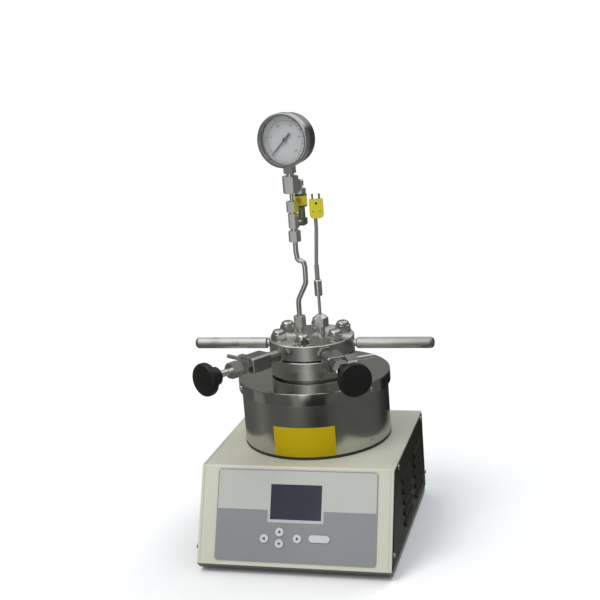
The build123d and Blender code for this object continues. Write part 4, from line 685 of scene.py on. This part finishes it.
def wall_glow(mat, around, wall, boards):
    """A wall of one grey, with boards and strips of other greys and soft edges round it."""
    stops = []
    for start, end, glow in boards:
        if stops and start - stops[-1][0] > 2 * SOFT_EDGE:  # the wall shows between two boards
            stops += [(stops[-1][0] + SOFT_EDGE, wall), (start - SOFT_EDGE, wall)]
        stops += [(start, glow), (end, glow)]
    stops = [(stops[0][0] - SOFT_EDGE, wall), *stops, (stops[-1][0] + SOFT_EDGE, wall)]
    ramp = mat.node_tree.nodes.new("ShaderNodeValToRGB")
    mat.node_tree.links.new(around, ramp.inputs[0])
    while len(ramp.color_ramp.elements) > 1:
        ramp.color_ramp.elements.remove(ramp.color_ramp.elements[-1])
    for index, (azimuth, glow) in enumerate(stops):
        share = (azimuth + 180) / 360
        stop = ramp.color_ramp.elements[0] if index == 0 else ramp.color_ramp.elements.new(share)
        stop.position = share
        stop.color = (glow, glow, glow * 0.97, 1)
    return ramp.outputs[0]


# Heights in metres: the high wall starts at the belt, and glows more above the wall's foot.
TENT_R, FOOT_RING, FOOT_Z = 0.48, 0.19, 0.0015
BELT_TOP, BELT_BLUR = 0.063, 0.006
WALL_FOOT, WALL_BLUR, WALL_GAIN = 0.15, 0.06, 1.5
ROOF_FOOT, ROOF_BLUR, ROOF_GLOW = 0.62, 0.08, (0.8, 0.81, 0.81)
# Each board or strip: the azimuth where it starts and ends, in degrees, and its glow.
# The front of the reactor is at -90 and its right side at 0.
SOFT_EDGE = 6
LOW_WALL = 0.12
LOW_BOARDS = ((-170, -155, 0.25),  # pale board at the left
              (-104, -98, 0.25),  # narrow strip left of the middle
              (-88, -65, 0.03),  # dark board in front
              (35, 75, 0.02))  # dark board at the right rear
HIGH_WALL = 0.15
HIGH_BOARDS = ((-160, -135, 0.1),  # grey board at the left
               (-107, -99, 0.35),  # edge of the strip light
               (-95, -92, 1.1),  # strip light
               (-80, -58, 0.08),  # dark board in front
               (-30, -26, 0.07),  # narrow dark post
               (10, 60, 0.09))  # dark board at the right rear
tent_glow = bpy.data.materials.new("tent_glow")
tent_glow.use_nodes = True
tent_glow.node_tree.nodes.clear()
in_tent = add(tent_glow, "TexCoord", out="Object")
around = add(tent_glow, "TexGradient", {"Vector": in_tent}, out="Fac", gradient_type="RADIAL")
height = add(tent_glow, "SeparateXYZ", {0: in_tent}, out="Z")
over_belt = span(tent_glow, height, BELT_TOP - BELT_BLUR, BELT_TOP + BELT_BLUR)
in_roof = span(tent_glow, height, ROOF_FOOT, ROOF_FOOT + ROOF_BLUR)
walls = mix(tent_glow, over_belt, wall_glow(tent_glow, around, LOW_WALL, LOW_BOARDS),
            wall_glow(tent_glow, around, HIGH_WALL, HIGH_BOARDS))
tent_colour = mix(tent_glow, in_roof, walls, ROOF_GLOW)
brighter_up = span(tent_glow, height, WALL_FOOT, WALL_FOOT + WALL_BLUR, 1.0, WALL_GAIN)
strength = mix(tent_glow, in_roof, brighter_up, (1, 1, 1))
tent_light = add(tent_glow, "Emission", {"Color": tent_colour, "Strength": strength})
tent_out = tent_glow.node_tree.nodes.new("ShaderNodeOutputMaterial")
tent_glow.node_tree.links.new(tent_light, tent_out.inputs[0])
tent_profile = [(FOOT_RING, FOOT_Z), (TENT_R, FOOT_Z), (TENT_R, 0.7), (0.3, 0.95), (0, 1.0)]
tent = spun("reflection_tent", tent_profile, tent_glow)
tent.visible_camera = tent.visible_diffuse = False
tent.visible_shadow = tent.visible_transmission = False
print("tent has", len(LOW_BOARDS) + len(HIGH_BOARDS), "boards and strips")

# %% [markdown]
# ## World and lamps
# The room's even light fills the shadows. A strong lamp in front of the reactor throws the
# shadow on the floor, and a weaker one behind it lifts the dark parts off each other. Both
# are wide, which gives a shadow soft edges.

# %% World and lamps
bpy.context.scene.view_settings.view_transform = "Standard"
world = bpy.data.worlds.new("soft_room")
world.use_nodes = True
world.node_tree.nodes["Background"].inputs[0].default_value = (0.92, 0.95, 1, 1)
world.node_tree.nodes["Background"].inputs[1].default_value = 0.72
bpy.context.scene.world = world
LIT_POINT = Vector((0, 0, 0.2))


def soft_box(name, at, width, watts, colour):
    """A square lamp that faces the reactor."""
    light = bpy.data.lights.new(name, "AREA")
    light.size, light.energy, light.color = width, watts, colour
    lamp = bpy.data.objects.new(name, light)
    aim = (LIT_POINT - Vector(at)).to_track_quat("-Z", "Y")
    lamp.matrix_world = Matrix.Translation(at) @ aim.to_matrix().to_4x4()
    bpy.context.scene.collection.objects.link(lamp)


soft_box("key_light", (-0.9, -1.1, 2.3), 1.2, 34, (1, 0.98, 0.94))
soft_box("rear_light", (0.9, 1.5, 1.8), 1.0, 16, (0.95, 0.98, 1))
print("three lights: the room and two soft boxes")
